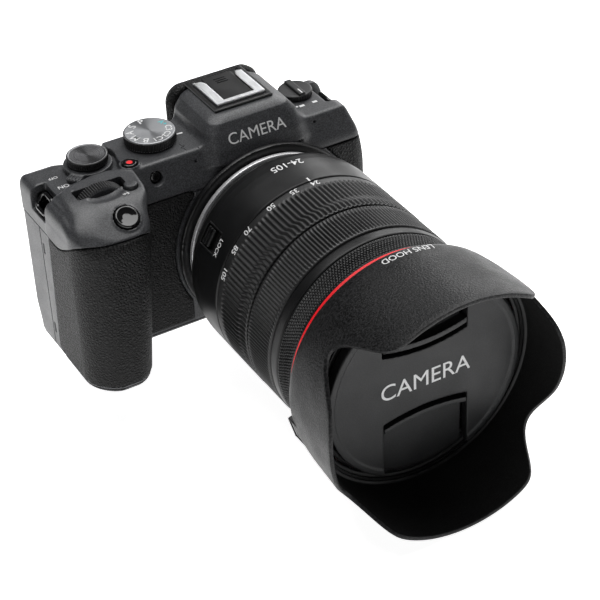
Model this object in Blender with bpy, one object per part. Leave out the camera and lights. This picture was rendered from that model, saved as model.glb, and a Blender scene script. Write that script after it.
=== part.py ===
"""Compact full-frame camera body with a 24-105 mm zoom lens, petal hood and lens cap.

Every physical piece is its own closed solid. Lengths below are millimetres; the mesh is
written in metres. +Z is up, the lens points to -Y and the hand grip is at -X.
The origin lies on the base plane, under the lens axis, at the sensor plane.
"""
import math

import bpy
import bmesh
from mathutils import Matrix, Vector

MM = 0.001
GAP = 0.3                      # clearance kept between neighbouring pieces

# ---- camera body -------------------------------------------------------------------
LENS_Z = 33.0                  # height of the lens axis above the base
FLANGE_Y = -20.0               # lens mount flange, 20 mm in front of the sensor plane
RIGHT_X = 48.3                 # side with the terminals
GRIP_X = -87.5                 # outer side of the grip
FRONT_Y = -17.0                # front face beside the mount
NOSE_Y = -41.0                 # front of the grip
REAR_Y = 14.5                  # rear face
HUMP_REAR_Y = 20.0             # back of the finder hump
SIDE_SLOPE_Z = 52.0            # the terminal side leans inwards above this height
SIDE_SLOPE = math.radians(18)
LEAN_Z = 62.5                  # the front of the top cover leans back above this height
LEAN = math.radians(26)
GRIP_TAPER = 5.5               # the grip is this much thinner at the base, on its finger side
BASE_T = 2.0                   # base plate thickness
SPLIT_Z = 59.0                 # seam between the top cover and the lower covers
DECK_Z = 75.5                  # top deck beside the finder hump
LEFT_DECK_Z = 74.0             # top deck on the terminal side
REAR_DECK_Z = 72.5             # low deck around the quick dial
WALL = 2.2
SKIN_TOP_Z = 56.0
SKIN_T = 1.3                   # depth of the recess for the rubber skins
NOSE_SLOPE = math.radians(32)  # slope of the grip's top, towards the front
NOSE_TOP_Y = -25.6             # where that slope starts

# ---- controls: centre x, y, radius --------------------------------------------------
MODE_DIAL = (-36.3, 5.0, 10.2)
QUICK_DIAL = (-62.5, 5.7, 8.0)
PHOTO_DIAL = (28.6, 7.0, 6.9)
MAIN_DIAL_X, MAIN_DIAL_Y, MAIN_DIAL_Z, MAIN_DIAL_R = -67.2, -14.9, 65.6, 11.2
MAIN_DIAL_W = 6.0
SHUTTER_X, SHUTTER_Y = -65.0, -32.6
FUNCTION_XY = (-56.9, -20.1)
RECORD_XY = (-50.6, -6.3)

# ---- lens: radii, and distances t in front of the flange -----------------------------
THROAT_R = 27.6
BARREL_R = 41.75
RING_IN_R = 38.3
TUBE_R = 35.2
ZOOM_T = (33.5, 56.1)
FOCUS_T = (57.0, 73.1)
PLAIN_T = (73.5, 78.4)
CONTROL_T = (78.8, 88.4)
RED_T = (89.0, 90.4)
BEZEL_END_T = 107.3
CAP_T = (107.7, 112.0)
HOOD_START_T = 91.3
HOOD_LONG_T = 138.0            # long petals, above and below
HOOD_SHORT_T = 127.5           # short petals, left and right
HOOD_NOTCH_T = 116.0
LENS_CENTRE = (0, FLANGE_Y, LENS_Z)
AHEAD = (0, -1, 0)
UP = (0, 0, 1)

ROUND = 40                     # facets of a large ring
SMALL = 18                     # facets of a button

COLOURS = {                    # base colour, roughness, metallic
    "body_plastic": ((0.035, 0.036, 0.039, 1), 0.55, 0.0),
    "rubber_skin": ((0.020, 0.020, 0.021, 1), 0.80, 0.0),
    "lens_plastic": ((0.028, 0.028, 0.030, 1), 0.45, 0.0),
    "ring_rubber": ((0.018, 0.018, 0.018, 1), 0.70, 0.0),
    "chrome": ((0.75, 0.75, 0.76, 1), 0.18, 1.0),
    "dial_grey": ((0.25, 0.26, 0.27, 1), 0.40, 0.6),
    "dial_dark": ((0.09, 0.09, 0.10, 1), 0.35, 0.7),
    "gloss_black": ((0.010, 0.010, 0.011, 1), 0.12, 0.0),
    "red_paint": ((0.70, 0.02, 0.02, 1), 0.35, 0.0),
    "glass": ((0.05, 0.07, 0.08, 1), 0.03, 0.0),
    "sensor": ((0.10, 0.16, 0.12, 1), 0.20, 0.3),
    "steel": ((0.45, 0.45, 0.46, 1), 0.30, 1.0),
    "hood_plastic": ((0.022, 0.022, 0.023, 1), 0.62, 0.0),
}

for old in list(bpy.data.objects):
    bpy.data.objects.remove(old, do_unlink=True)


# ---- tools ---------------------------------------------------------------------------
def material(name):
    found = bpy.data.materials.get(name)
    if found:
        return found
    colour, rough, metal = COLOURS[name]
    made = bpy.data.materials.new(name)
    made.use_nodes = True
    shader = made.node_tree.nodes["Principled BSDF"]
    shader.inputs["Base Color"].default_value = colour
    shader.inputs["Roughness"].default_value = rough
    shader.inputs["Metallic"].default_value = metal
    return made


def basis(axis):
    """Two directions square to axis; for AHEAD they are +X and +Z."""
    w = Vector(axis).normalized()
    if abs(w.x) > 0.9:
        u = Vector((0, 1, 0))
    else:
        u = Vector((1, 0, 0))
    u = (u - w * u.dot(w)).normalized()
    return u, w.cross(u), w


def mesh_object(points, faces):
    mesh = bpy.data.meshes.new("solid")
    work = bmesh.new()
    verts = [work.verts.new(Vector(p) * MM) for p in points]
    for face in faces:
        work.faces.new([verts[i] for i in face])
    bmesh.ops.recalc_face_normals(work, faces=work.faces)
    work.to_mesh(mesh)
    work.free()
    made = bpy.data.objects.new("solid", mesh)
    bpy.context.scene.collection.objects.link(made)
    return made


def skin_rings(rings, joined=False):
    """Solid through equal closed loops; joined connects the last loop to the first."""
    n = len(rings[0])
    points = [p for ring in rings for p in ring]
    faces = []
    last = len(rings) if joined else len(rings) - 1
    for k in range(last):
        a, b = k * n, ((k + 1) % len(rings)) * n
        for i in range(n):
            j = (i + 1) % n
            faces.append((a + i, a + j, b + j, b + i))
    if not joined:
        faces.append(tuple(range(n)))
        faces.append(tuple(range((len(rings) - 1) * n, len(rings) * n)))
    return mesh_object(points, faces)


def turned(profile, centre, axis, segments=ROUND, solid=False):
    """Ring (closed profile) or disc (open profile) of (radius, height) points."""
    u, v, w = basis(axis)
    c = Vector(centre)
    angles = [2 * math.pi * i / segments for i in range(segments)]
    if solid:
        rings = [[c + w * h + (u * math.cos(a) + v * math.sin(a)) * r for a in angles]
                 for r, h in profile]
        return skin_rings(rings)
    rings = [[c + w * h + (u * math.cos(a) + v * math.sin(a)) * r for r, h in profile]
             for a in angles]
    return skin_rings(rings, joined=True)


def tube(r_in, r_out, h0, h1, centre, axis, segments=ROUND):
    return turned([(r_in, h0), (r_out, h0), (r_out, h1), (r_in, h1)], centre, axis, segments)


def disc(r, h0, h1, centre, axis, segments=SMALL):
    return turned([(r, h0), (r, h1)], centre, axis, segments, solid=True)


def prism(outline, z0, z1):
    return skin_rings([[(x, y, z0) for x, y in outline], [(x, y, z1) for x, y in outline]])


def block(x0, x1, y0, y1, z0, z1):
    return prism([(x0, y0), (x1, y0), (x1, y1), (x0, y1)], z0, z1)


def turn(thing, angle, axis, pivot):
    """Rotate a solid by angle in radians about an axis through pivot."""
    p = Vector(pivot) * MM
    move = Matrix.Translation(p) @ Matrix.Rotation(angle, 4, Vector(axis)) @ Matrix.Translation(-p)
    thing.data.transform(move)
    return thing


def combine(base, others, operation="DIFFERENCE"):
    """Boolean of base with each of the others, which are used up."""
    for other in others:
        step = base.modifiers.new("cut", "BOOLEAN")
        step.operation = operation
        step.solver = "EXACT"
        step.object = other
    shape = base.evaluated_get(bpy.context.evaluated_depsgraph_get())
    mesh = bpy.data.meshes.new_from_object(shape)
    base.modifiers.clear()
    base.data = mesh
    for other in others:
        bpy.data.objects.remove(other, do_unlink=True)
    work = bmesh.new()
    work.from_mesh(mesh)
    bmesh.ops.remove_doubles(work, verts=work.verts, dist=1e-6)
    bmesh.ops.dissolve_limit(work, angle_limit=math.radians(0.5), verts=work.verts,
                             edges=work.edges)
    work.to_mesh(mesh)
    work.free()
    return base


def filleted(corners, steps=5):
    """Closed outline of (x, y, radius) corners, each rounded by its radius."""
    out = []
    n = len(corners)
    for i, (x, y, r) in enumerate(corners):
        here = Vector((x, y))
        back = (Vector(corners[i - 1][:2]) - here).normalized()
        ahead = (Vector(corners[(i + 1) % n][:2]) - here).normalized()
        half = back.angle(ahead) / 2
        reach = r / math.tan(half)
        middle = here + (back + ahead).normalized() * (r / math.sin(half))
        first, end = here + back * reach - middle, here + ahead * reach - middle
        sweep = first.angle_signed(end)
        for k in range(steps + 1):
            a = -sweep * k / steps
            c, s = math.cos(a), math.sin(a)
            out.append((middle.x + first.x * c - first.y * s, middle.y + first.x * s + first.y * c))
    return out


def inset(outline, amount):
    """Outline moved inwards by amount; the outline runs clockwise seen from above."""
    out = []
    n = len(outline)
    for i, (x, y) in enumerate(outline):
        a, b = Vector(outline[i - 1]), Vector(outline[(i + 1) % n])
        along = (b - a).normalized()
        out.append((x + along.y * amount, y - along.x * amount))
    return out


def rectangle(x0, x1, y0, y1, r, steps=3):
    return filleted([(x1, y1, r), (x1, y0, r), (x0, y0, r), (x0, y1, r)], steps)


def finish(name, thing, colour, pivot=(0, 0, 0), smooth=True):
    """Name the piece, put its origin on its pivot and give it a material."""
    p = Vector(pivot) * MM
    thing.data.transform(Matrix.Translation(-p))
    thing.location = p
    thing.name = name
    thing.data.name = name
    thing.data.materials.clear()
    thing.data.materials.append(material(colour))
    if smooth:
        thing.data.shade_smooth()
        thing.data.set_sharp_from_angle(angle=math.radians(35))
    return thing


def lens_point(radius, t, degrees):
    """Point on the lens: degrees from +X towards +Z about the lens axis."""
    a = math.radians(degrees)
    return (radius * math.cos(a), FLANGE_Y - t, LENS_Z + radius * math.sin(a))


def lens_block(r0, r1, t0, t1, width, degrees):
    """Block standing on the lens barrel, width across, at an angle about the axis."""
    made = block(r0, r1, FLANGE_Y - t1, FLANGE_Y - t0, LENS_Z - width / 2, LENS_Z + width / 2)
    return turn(made, -math.radians(degrees), (0, 1, 0), (0, 0, LENS_Z))


# ---- camera body shells ----------------------------------------------------------------
def body_outline(taper=0.0):
    """Outline of the body seen from above, with the finger side of the grip moved by taper."""
    return filleted([(RIGHT_X, REAR_Y, 4), (RIGHT_X, FRONT_Y, 8), (-54.5 - taper, FRONT_Y, 3),
                     (-57.5 - taper, NOSE_Y, 9), (GRIP_X, NOSE_Y, 14), (GRIP_X, REAR_Y, 7)])


OUTLINE = body_outline()
MONITOR_WELL = (-30.5, 46.6, 5.5, 53.5)
WELL_Y = REAR_Y - 5.8
FLAP = (-8.5, 6.5, 11.7, 52.3)
DOOR = (-84.0, -67.0, -33.5, -6.5)
DOOR_HINGE_X = -66.6


def nose_wedge(drop):
    """Space above the sloping top of the grip, lowered by drop."""
    wedge = block(-95, -52, NOSE_TOP_Y - 60, NOSE_TOP_Y, DECK_Z - drop, DECK_Z + 60)
    return turn(wedge, NOSE_SLOPE, (1, 0, 0), (0, NOSE_TOP_Y, DECK_Z - drop))


def body_column(margin, z0, z1):
    """The tapering body below the top cover, moved in by margin, from z0 to z1."""
    levels = [z0, z1] if z1 <= SPLIT_Z else [z0, SPLIT_Z, z1]
    rings = []
    for z in levels:
        outline = inset(body_outline(GRIP_TAPER * max(0.0, 1 - z / SPLIT_Z)), margin)
        rings.append([(x, y, z) for x, y in outline])
    return skin_rings(rings)


def outline_part(margin, z0, z1, y0, y1):
    """The tapering body moved in by margin, between two y planes."""
    made = body_column(margin, z0, z1)
    keep = block(-120, 90, y0, y1, z0 - 5, z1 + 5)
    return combine(made, [keep], "INTERSECT")


def lean_wedge(drop):
    """Space ahead of the leaning front of the top cover, moved back by drop."""
    y = FRONT_Y + drop
    wedge = turn(block(-56.5, 90, y - 40, y, 40, 140), -LEAN, (1, 0, 0), (0, y, LEAN_Z))
    return combine(wedge, [block(-100, 100, -80, 80, 0, LEAN_Z)])


def side_wedge(drop):
    """Space outside the leaning top of the terminal side, moved in by drop."""
    wedge = block(RIGHT_X - drop, RIGHT_X + 40, -80, 80, SIDE_SLOPE_Z, 140)
    return turn(wedge, -SIDE_SLOPE, (0, 1, 0), (RIGHT_X - drop, 0, SIDE_SLOPE_Z))


def throat(radius=THROAT_R):
    return disc(radius, -5, 10, LENS_CENTRE, AHEAD, ROUND)


def skin_zone(x0, x1, y0, margin, grow):
    """Outer layer of the body walls, where a rubber skin lies."""
    outer = outline_part(-grow, 4 - grow, SKIN_TOP_Z + grow, -80, y0 + grow)
    outer = combine(outer, [body_column(margin, -5, 90)])
    keep = block(x0 - grow, x1 + grow, -90, 90, -10, 90)
    return combine(outer, [keep], "INTERSECT")


def flap_pocket():
    y0, y1, z0, z1 = FLAP
    return block(RIGHT_X - 1.7, RIGHT_X + 5, y0, y1, z0, z1)


PIN = lens_point(30.2, 0, -18)
RELEASE = (38.0, FRONT_Y, 24.0)

front = outline_part(0, BASE_T + GAP, SPLIT_Z - GAP / 2, -60, 0)
front = combine(front, [body_column(WALL + 1.5, -5, 90), throat(), nose_wedge(0),
                        side_wedge(0)])
front = combine(front, [skin_zone(-100, -34.2, -2, SKIN_T, GAP),
                        skin_zone(42.6, 100, -11, SKIN_T, GAP), flap_pocket(),
                        disc(4.8, -5, 6, RELEASE, AHEAD), disc(1.6, -6, 6, PIN, AHEAD)])
finish("front_cover", front, "body_plastic")

grip_skin = skin_zone(-100, -34.5, -2.3, 1.0, -0.001)
finish("grip_skin", grip_skin, "rubber_skin")
front_skin = skin_zone(42.9, 100, -11.3, 1.0, -0.001)
finish("front_skin", front_skin, "rubber_skin")

rear = outline_part(0, BASE_T + GAP, SPLIT_Z - GAP / 2, GAP, 40)
rear = combine(rear, [body_column(WALL + 1.5, -5, 90), side_wedge(0)])
well_x0, well_x1, well_z0, well_z1 = MONITOR_WELL
rear = combine(rear, [block(well_x0 - 2, RIGHT_X - 1.9, WELL_Y - 2.6, REAR_Y - 0.6, well_z0 - 2, well_z1 + 2)],
               "UNION")
REAR_BUTTONS = {"af_on_button": (-46.5, 48.0, 3.3), "set_button": (-55.0, 26.0, 3.4),
                "playback_button": (-41.0, 9.5, 2.6)}
KEYS = (-55.0, 26.0, 10.0)
holes = [block(well_x0, well_x1, WELL_Y, 30, well_z0, well_z1), flap_pocket(),
         disc(KEYS[2] + GAP, 0, 10, (KEYS[0], REAR_Y - 1.6, KEYS[1]), (0, 1, 0), 24)]
holes += [disc(r + GAP, 0, 10, (x, REAR_Y - 1.8, z), (0, 1, 0)) for x, z, r in
          (REAR_BUTTONS["af_on_button"], REAR_BUTTONS["playback_button"])]
rear = combine(rear, holes)
finish("rear_cover", rear, "body_plastic")

plate = prism(inset(body_outline(GRIP_TAPER), 0.8), 0, BASE_T)
door_x0, door_x1, door_y0, door_y1 = DOOR
SOCKET = (0, -8.0)
plate = combine(plate, [block(door_x0 - 0.4, DOOR_HINGE_X + 0.3, door_y0 - 0.4, door_y1 + 0.4, -5, 5),
                        disc(5.3, -5, 5, (*SOCKET, 0), UP)])
finish("bottom_plate", plate, "body_plastic")

# top cover: slab, decks and finder hump, hollow from below
top = prism(OUTLINE, SPLIT_Z + GAP / 2, LEFT_DECK_Z)
grip_deck = prism([p for p in OUTLINE if p[0] < -40] + [(-20, REAR_Y), (-20, FRONT_Y)],
                  LEFT_DECK_Z - 4, DECK_Z)
top = combine(top, [grip_deck], "UNION")
rear_low = block(-100, -62.5, -6.0, 40, REAR_DECK_Z, 90)
quick_recess = disc(11.0, 0, 20, (QUICK_DIAL[0], QUICK_DIAL[1], REAR_DECK_Z), UP, 28)
top = combine(top, [nose_wedge(0), lean_wedge(0), rear_low, quick_recess, side_wedge(0)])

hump_levels = [(66.6, 21.6, -15.4, HUMP_REAR_Y, 4), (68.8, 21.4, -17.0, HUMP_REAR_Y, 4),
               (74, 20.9, -15.2, HUMP_REAR_Y, 5), (79, 20.0, -12.4, HUMP_REAR_Y, 5),
               (82.4, 17.4, -10.4, HUMP_REAR_Y, 5), (84.3, 14.0, -7.6, HUMP_REAR_Y, 5)]
hump = skin_rings([[(x, y, z) for x, y in rectangle(-w, w, y0, y1, r)]
                   for z, w, y0, y1, r in hump_levels])
top = combine(top, [hump], "UNION")

hollow = prism(inset(OUTLINE, 2.6), 40, 69.0)
hollow = combine(hollow, [nose_wedge(5.5), side_wedge(3.0), lean_wedge(2.6)])
hump_room = skin_rings([[(x, y, z) for x, y in rectangle(-w, w, y0, 17.0, 3)]
                        for z, w, y0 in ((68.0, 18, -12), (74, 17, -11), (81, 13.5, -7))])
top = combine(top, [hollow, hump_room, throat()])

nose_axis = (0, -math.sin(NOSE_SLOPE), math.cos(NOSE_SLOPE))
shutter_at = (SHUTTER_X, SHUTTER_Y, DECK_Z - (NOSE_TOP_Y - SHUTTER_Y) * math.tan(NOSE_SLOPE))
PHOTO_AXIS = (PHOTO_DIAL[0], PHOTO_DIAL[1], LEFT_DECK_Z)
MODE_AXIS = (MODE_DIAL[0], MODE_DIAL[1], DECK_Z)
QUICK_AXIS = (QUICK_DIAL[0], QUICK_DIAL[1], REAR_DECK_Z)
LUG_LEFT, LUG_RIGHT = (41.6, 68.4), (-85.0, 67.0)
AF_LAMP = (-43.0, -13.4, 70.0)
MENU = (33.0, REAR_Y, 63.5, 2.7)
DIOPTER = (25.0, REAR_Y, 64.0)
slot_half = MAIN_DIAL_W / 2 + 0.4
pockets = [disc(2.9, -3, 10, MODE_AXIS, UP), disc(2.9, -3, 10, QUICK_AXIS, UP),
           disc(2.9, -3, 10, PHOTO_AXIS, UP),
           block(-77.2, -57.2, MAIN_DIAL_Y - slot_half, MAIN_DIAL_Y + slot_half, 60, 90),
           block(-79.0, -55.4, MAIN_DIAL_Y - slot_half, MAIN_DIAL_Y + slot_half, 50, 72.6),
           disc(5.0, -3.6, 10, shutter_at, nose_axis, 24),
           disc(2.9, -2.5, 10, (*FUNCTION_XY, DECK_Z), UP),
           disc(3.3, -2.5, 10, (*RECORD_XY, DECK_Z), UP),
           block(38.0, 60, -3, 9, 64.2, 90), block(-100, -81.2, -8, 4, 63.6, 90),
           disc(2.6, -3.8, 10, AF_LAMP, AHEAD),
           disc(MENU[3] + GAP, -1.8, 10, MENU[:3], (0, 1, 0)),
           block(-12, 12, 14, 40, 66, 80),
           disc(2.0, -2, 10, DIOPTER, (0, 1, 0)),
           block(-12.0, 12.0, -4.0, 30, 84.0, 90)]
top = combine(top, pockets)
finish("top_cover", top, "body_plastic")

# ---- mount and what is behind it ---------------------------------------------------------
mount = tube(27.3, 33.0, -2.7, -0.15, LENS_CENTRE, AHEAD)
finish("body_mount_ring", combine(mount, [disc(1.6, -9, 9, PIN, AHEAD)]), "chrome")
frame_ring = tube(27.8, 30.3, -16.0, -7.2, LENS_CENTRE, AHEAD)
frame_ring = combine(frame_ring, [block(-10, 10, -40, 10, -5, 7)])
finish("mount_frame", frame_ring, "steel")
sensor = block(-21, 21, -1.5, 3.2, 16, 50)
sensor = combine(sensor, [block(-18.2, 18.2, -5, -0.9, 20.8, 45.2)])
finish("sensor_unit", sensor, "sensor", smooth=False)
for label, y in (("a", -3.4), ("b", -2.6)):
    blade = block(-20, 20, y, y + 0.5, 6.6, 20.2)
    finish("shutter_blade_" + label, blade, "gloss_black", (0, y, 6.6), smooth=False)
finish("battery", block(-81, -68.4, -32, -8.5, 2.6, 50), "dial_dark", smooth=False)
finish("tripod_socket", tube(3.1, 5.0, 0.2, 5.6, (*SOCKET, 0), UP, 24), "steel")
finish("lens_lock_pin", disc(1.3, -3.7, 1.1, PIN, AHEAD, 12), "steel", PIN)
finish("lens_release_button", turned([(4.4, -1.6), (4.4, 2.2), (3.9, 2.7)], RELEASE, AHEAD, 22,
                                     solid=True), "body_plastic", RELEASE)

# ---- finder, shoe, lugs -------------------------------------------------------------------
SHOE_Z = 84.35
finish("eyepiece_lens", block(-11.7, 11.7, 17.3, 19.3, 66.3, 79.7), "glass", smooth=False)
cup = skin_rings([[(x, y, z) for x, z in rectangle(-w, w, z0, z1, 7)]
                  for y, w, z0, z1 in ((20.3, 19, 60.8, 83.2), (23.0, 20.4, 60.0, 84.0),
                                       (26.0, 19.4, 61, 83))])
cup = combine(cup, [block(-11, 11, 10, 30, 66.8, 79.2)])
finish("eyecup", cup, "rubber_skin")
shoe = block(-10.35, 10.35, -2.5, 19.0, SHOE_Z, 86.5)
shoe = combine(shoe, [block(-8.9, 8.9, -1.0, 30, 84.95, 86.0), block(-6.6, 6.6, -0.6, 30, 84.95, 90)])
finish("hot_shoe", shoe, "chrome", smooth=False)
cover = block(-8.6, 8.6, -0.3, 18.8, 85.15, 85.75)
cover = combine(cover, [block(-6.3, 6.3, -0.3, 18.8, 85.4, 86.3)], "UNION")
finish("shoe_cover", cover, "gloss_black", (0, -0.3, 85.15), smooth=False)
finish("strap_lug_left", disc(1.1, -5.6, 5.6, (LUG_LEFT[0], 3, LUG_LEFT[1]), (0, 1, 0), 12), "steel")
finish("strap_lug_right", disc(1.1, -5.6, 5.6, (LUG_RIGHT[0], -2, LUG_RIGHT[1]), (0, 1, 0), 12),
       "steel")
finish("af_lamp_window", turned([(2.3, -3.4), (2.3, -1.6), (1.6, -1.1)], AF_LAMP, AHEAD, 16,
                                solid=True), "glass")
diopter = turned([(1.7, -1.5), (1.7, 0.3), (3.0, 0.3), (3.0, 3.0), (2.6, 3.4)], DIOPTER, (0, 1, 0),
                 18, solid=True)
finish("diopter_knob", diopter, "dial_dark", DIOPTER)


# ---- top controls ---------------------------------------------------------------------------
def dial(name, at, radius, low, high, colour, facets=28, shaft=2.6):
    """Knob on a shaft: the knob spans low to high above the deck."""
    profile = [(shaft, -2.6), (shaft, low), (radius, low), (radius, high - 0.4), (radius - 0.5, high)]
    return finish(name, turned(profile, at, UP, facets, solid=True), colour, at)


dial("mode_dial", MODE_AXIS, MODE_DIAL[2], GAP, 4.4, "dial_grey", 32)
dial("quick_dial", QUICK_AXIS, QUICK_DIAL[2], 2.7, 5.6, "dial_dark", shaft=2.2)
photo = turned([(2.6, -2.6), (2.6, GAP), (PHOTO_DIAL[2], GAP), (PHOTO_DIAL[2], 2.0),
                (PHOTO_DIAL[2] - 0.5, 2.4)], PHOTO_AXIS, UP, 28, solid=True)
bar = block(PHOTO_DIAL[0] - 1.4, PHOTO_DIAL[0] + 1.4, PHOTO_DIAL[1] - 6.4, PHOTO_DIAL[1] + 6.4,
            LEFT_DECK_Z + 1, LEFT_DECK_Z + 3.4)
finish("photo_video_dial", combine(photo, [bar], "UNION"), "dial_dark", PHOTO_AXIS)
lever = tube(4.2, 9.4, GAP, 2.0, QUICK_AXIS, UP, 28)
tab = block(QUICK_DIAL[0] - 13.2, QUICK_DIAL[0] - 8.5, QUICK_DIAL[1] - 3, QUICK_DIAL[1] + 3,
            REAR_DECK_Z + GAP, REAR_DECK_Z + 2.0)
tab = turn(tab, math.radians(40), UP, QUICK_AXIS)
finish("power_lever", combine(lever, [tab], "UNION"), "body_plastic", QUICK_AXIS)
MAIN_AXIS = (MAIN_DIAL_X, MAIN_DIAL_Y, MAIN_DIAL_Z)
half = MAIN_DIAL_W / 2
finish("main_dial", disc(MAIN_DIAL_R, -half, half, MAIN_AXIS, (0, 1, 0), 32), "dial_dark", MAIN_AXIS)
finish("shutter_button", turned([(4.6, -1.8), (4.6, 0.9), (4.2, 1.3), (3.0, 1.0), (1.2, 0.8)],
                                shutter_at, nose_axis, 24, solid=True), "gloss_black", shutter_at)
FUNCTION = (*FUNCTION_XY, DECK_Z)
finish("function_button", turned([(2.5, -1.4), (2.5, 0.8), (2.0, 1.2)], FUNCTION, UP, SMALL,
                                 solid=True), "body_plastic", FUNCTION)
RECORD = (*RECORD_XY, DECK_Z)
finish("record_button", turned([(2.9, -1.4), (2.9, 0.7), (2.4, 1.0)], RECORD, UP, SMALL, solid=True),
       "gloss_black", RECORD)

# ---- rear controls ----------------------------------------------------------------------------
for name, (x, z, r) in REAR_BUTTONS.items():
    low = REAR_Y - (0.8 if name == "set_button" else 1.0)
    at = (x, low, z)
    finish(name, turned([(r, 0), (r, 1.6), (r - 0.5, 2.1)], at, (0, 1, 0), SMALL, solid=True),
           "body_plastic", at)
menu_at = (MENU[0], REAR_Y, MENU[2])
finish("menu_button", turned([(MENU[3], -1.0), (MENU[3], 0.8), (MENU[3] - 0.5, 1.2)], menu_at,
                             (0, 1, 0), SMALL, solid=True), "body_plastic", menu_at)
keys_at = (KEYS[0], REAR_Y - 0.8, KEYS[1])
finish("cross_keys", turned([(4.3, 0), (KEYS[2], 0), (KEYS[2], 0.9), (KEYS[2] - 0.6, 1.5), (4.6, 1.0)],
                            keys_at, (0, 1, 0), 28), "body_plastic", keys_at)

# ---- monitor on its side hinge ------------------------------------------------------------------
MONITOR_AXIS = (46.3, REAR_Y - 0.1, 0)
screen = block(-29.9, 39.4, REAR_Y - 5.4, REAR_Y - 0.1, 6.1, 52.9)
screen = combine(screen, [block(-25.3, 36.3, REAR_Y - 0.9, 20, 9.2, 49.8)])
finish("monitor", screen, "body_plastic", MONITOR_AXIS, smooth=False)
finish("monitor_glass", block(-25, 36, REAR_Y - 0.7, REAR_Y - 0.15, 9.5, 49.5), "glass", MONITOR_AXIS, smooth=False)
finish("monitor_arm", block(39.7, 46.0, REAR_Y - 5.4, REAR_Y - 0.1, 14, 45), "body_plastic", MONITOR_AXIS,
       smooth=False)

# ---- doors ------------------------------------------------------------------------------------------
DOOR_AXIS = (DOOR_HINGE_X, 0, 0)
door = block(door_x0, door_x1, door_y0, door_y1, 0, BASE_T)
door = combine(door, [block(-80.6, -74.6, -24, -18, -2, 1.1)])
finish("battery_door", door, "body_plastic", DOOR_AXIS, smooth=False)
finish("door_latch", block(-80.3, -77.2, -23.7, -18.3, 0, 0.8), "body_plastic", (-80.3, -21, 0),
       smooth=False)
FLAP_AXIS = (RIGHT_X + 0.2, -8.6, 0)
flap = block(RIGHT_X - 1.4, RIGHT_X, -8.1, 6.1, 12.1, 51.9)
finish("terminal_cover", flap, "rubber_skin", FLAP_AXIS, smooth=False)

# ---- lens ---------------------------------------------------------------------------------------------
lens_mount = tube(27.2, 35.4, 0.15, 2.0, LENS_CENTRE, AHEAD)
finish("lens_mount_ring", combine(lens_mount, [disc(1.6, -9, 9, PIN, AHEAD)]), "chrome")
SWITCHES = {"zoom_lock_switch": (19.5, 148), "focus_switch": (15.5, 24), "stabiliser_switch": (24.5, 24)}
barrel = turned([(28.0, 2.3), (35.2, 2.3), (38.4, 6.2), (40.6, 10), (41.5, 15), (BARREL_R, 21),
                 (BARREL_R, 33.2), (38.0, 33.2), (38.0, PLAIN_T[0]), (41.0, PLAIN_T[0]), (41.0, PLAIN_T[1]),
                 (38.0, PLAIN_T[1]), (38.0, 88.6), (35.7, 88.6), (35.7, 15.0), (28.0, 15.0)],
                LENS_CENTRE, AHEAD)
focus_gap = tube(37.9, 41.0, FOCUS_T[0] - 0.8, FOCUS_T[0] - 0.3, LENS_CENTRE, AHEAD)
barrel = combine(barrel, [focus_gap], "UNION")
barrel = combine(barrel, [lens_block(39.6, 50, t - 4.0, t + 4.0, 8, a) for t, a in SWITCHES.values()])
finish("lens_barrel", barrel, "lens_plastic")
for name, (t, a) in SWITCHES.items():
    at = lens_point(41, t, a)
    knob = lens_block(39.9, 42.1, t - 3.7, t + 0.7, 7.2, a)
    finish(name, knob, "body_plastic", at, smooth=False)


def grip_ring(name, span, radius, colour):
    t0, t1 = span
    profile = [(RING_IN_R, t0), (radius - 0.4, t0), (radius, t0 + 0.6), (radius, t1 - 0.6),
               (radius - 0.4, t1), (RING_IN_R, t1)]
    return finish(name, turned(profile, LENS_CENTRE, AHEAD), colour, LENS_CENTRE)


grip_ring("zoom_ring", (ZOOM_T[0], ZOOM_T[1] - 0.1), 41.75, "ring_rubber")
grip_ring("focus_ring", FOCUS_T, 41.6, "ring_rubber")
grip_ring("control_ring", CONTROL_T, 41.4, "lens_plastic")

finish("inner_barrel", tube(33.2, TUBE_R, 20, 98.2, LENS_CENTRE, AHEAD), "lens_plastic", LENS_CENTRE)
bezel = turned([(TUBE_R + GAP, 88.9), (39.9, 88.9), (39.9, 90.7), (41.6, 90.8), (41.6, 106.9),
                (41.2, BEZEL_END_T), (38.9, BEZEL_END_T), (38.9, 101.5), (31.0, 101.5),
                (31.0, 98.5), (TUBE_R + GAP, 98.5)], LENS_CENTRE, AHEAD)
finish("front_bezel", bezel, "lens_plastic", LENS_CENTRE)
finish("red_ring", tube(40.2, 41.7, *RED_T, LENS_CENTRE, AHEAD), "red_paint", LENS_CENTRE)
finish("front_element", turned([(32.8, 90), (32.8, 98.2), (30.5, 98.2), (20, 100.2), (8, 101.2)],
                               LENS_CENTRE, AHEAD, 32, solid=True), "glass", LENS_CENTRE)
finish("rear_element", turned([(10, 1.6), (20, 2.0), (27.0, 3.0), (27.6, 3.4), (27.6, 12)],
                              LENS_CENTRE, AHEAD, 28, solid=True), "glass")

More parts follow.
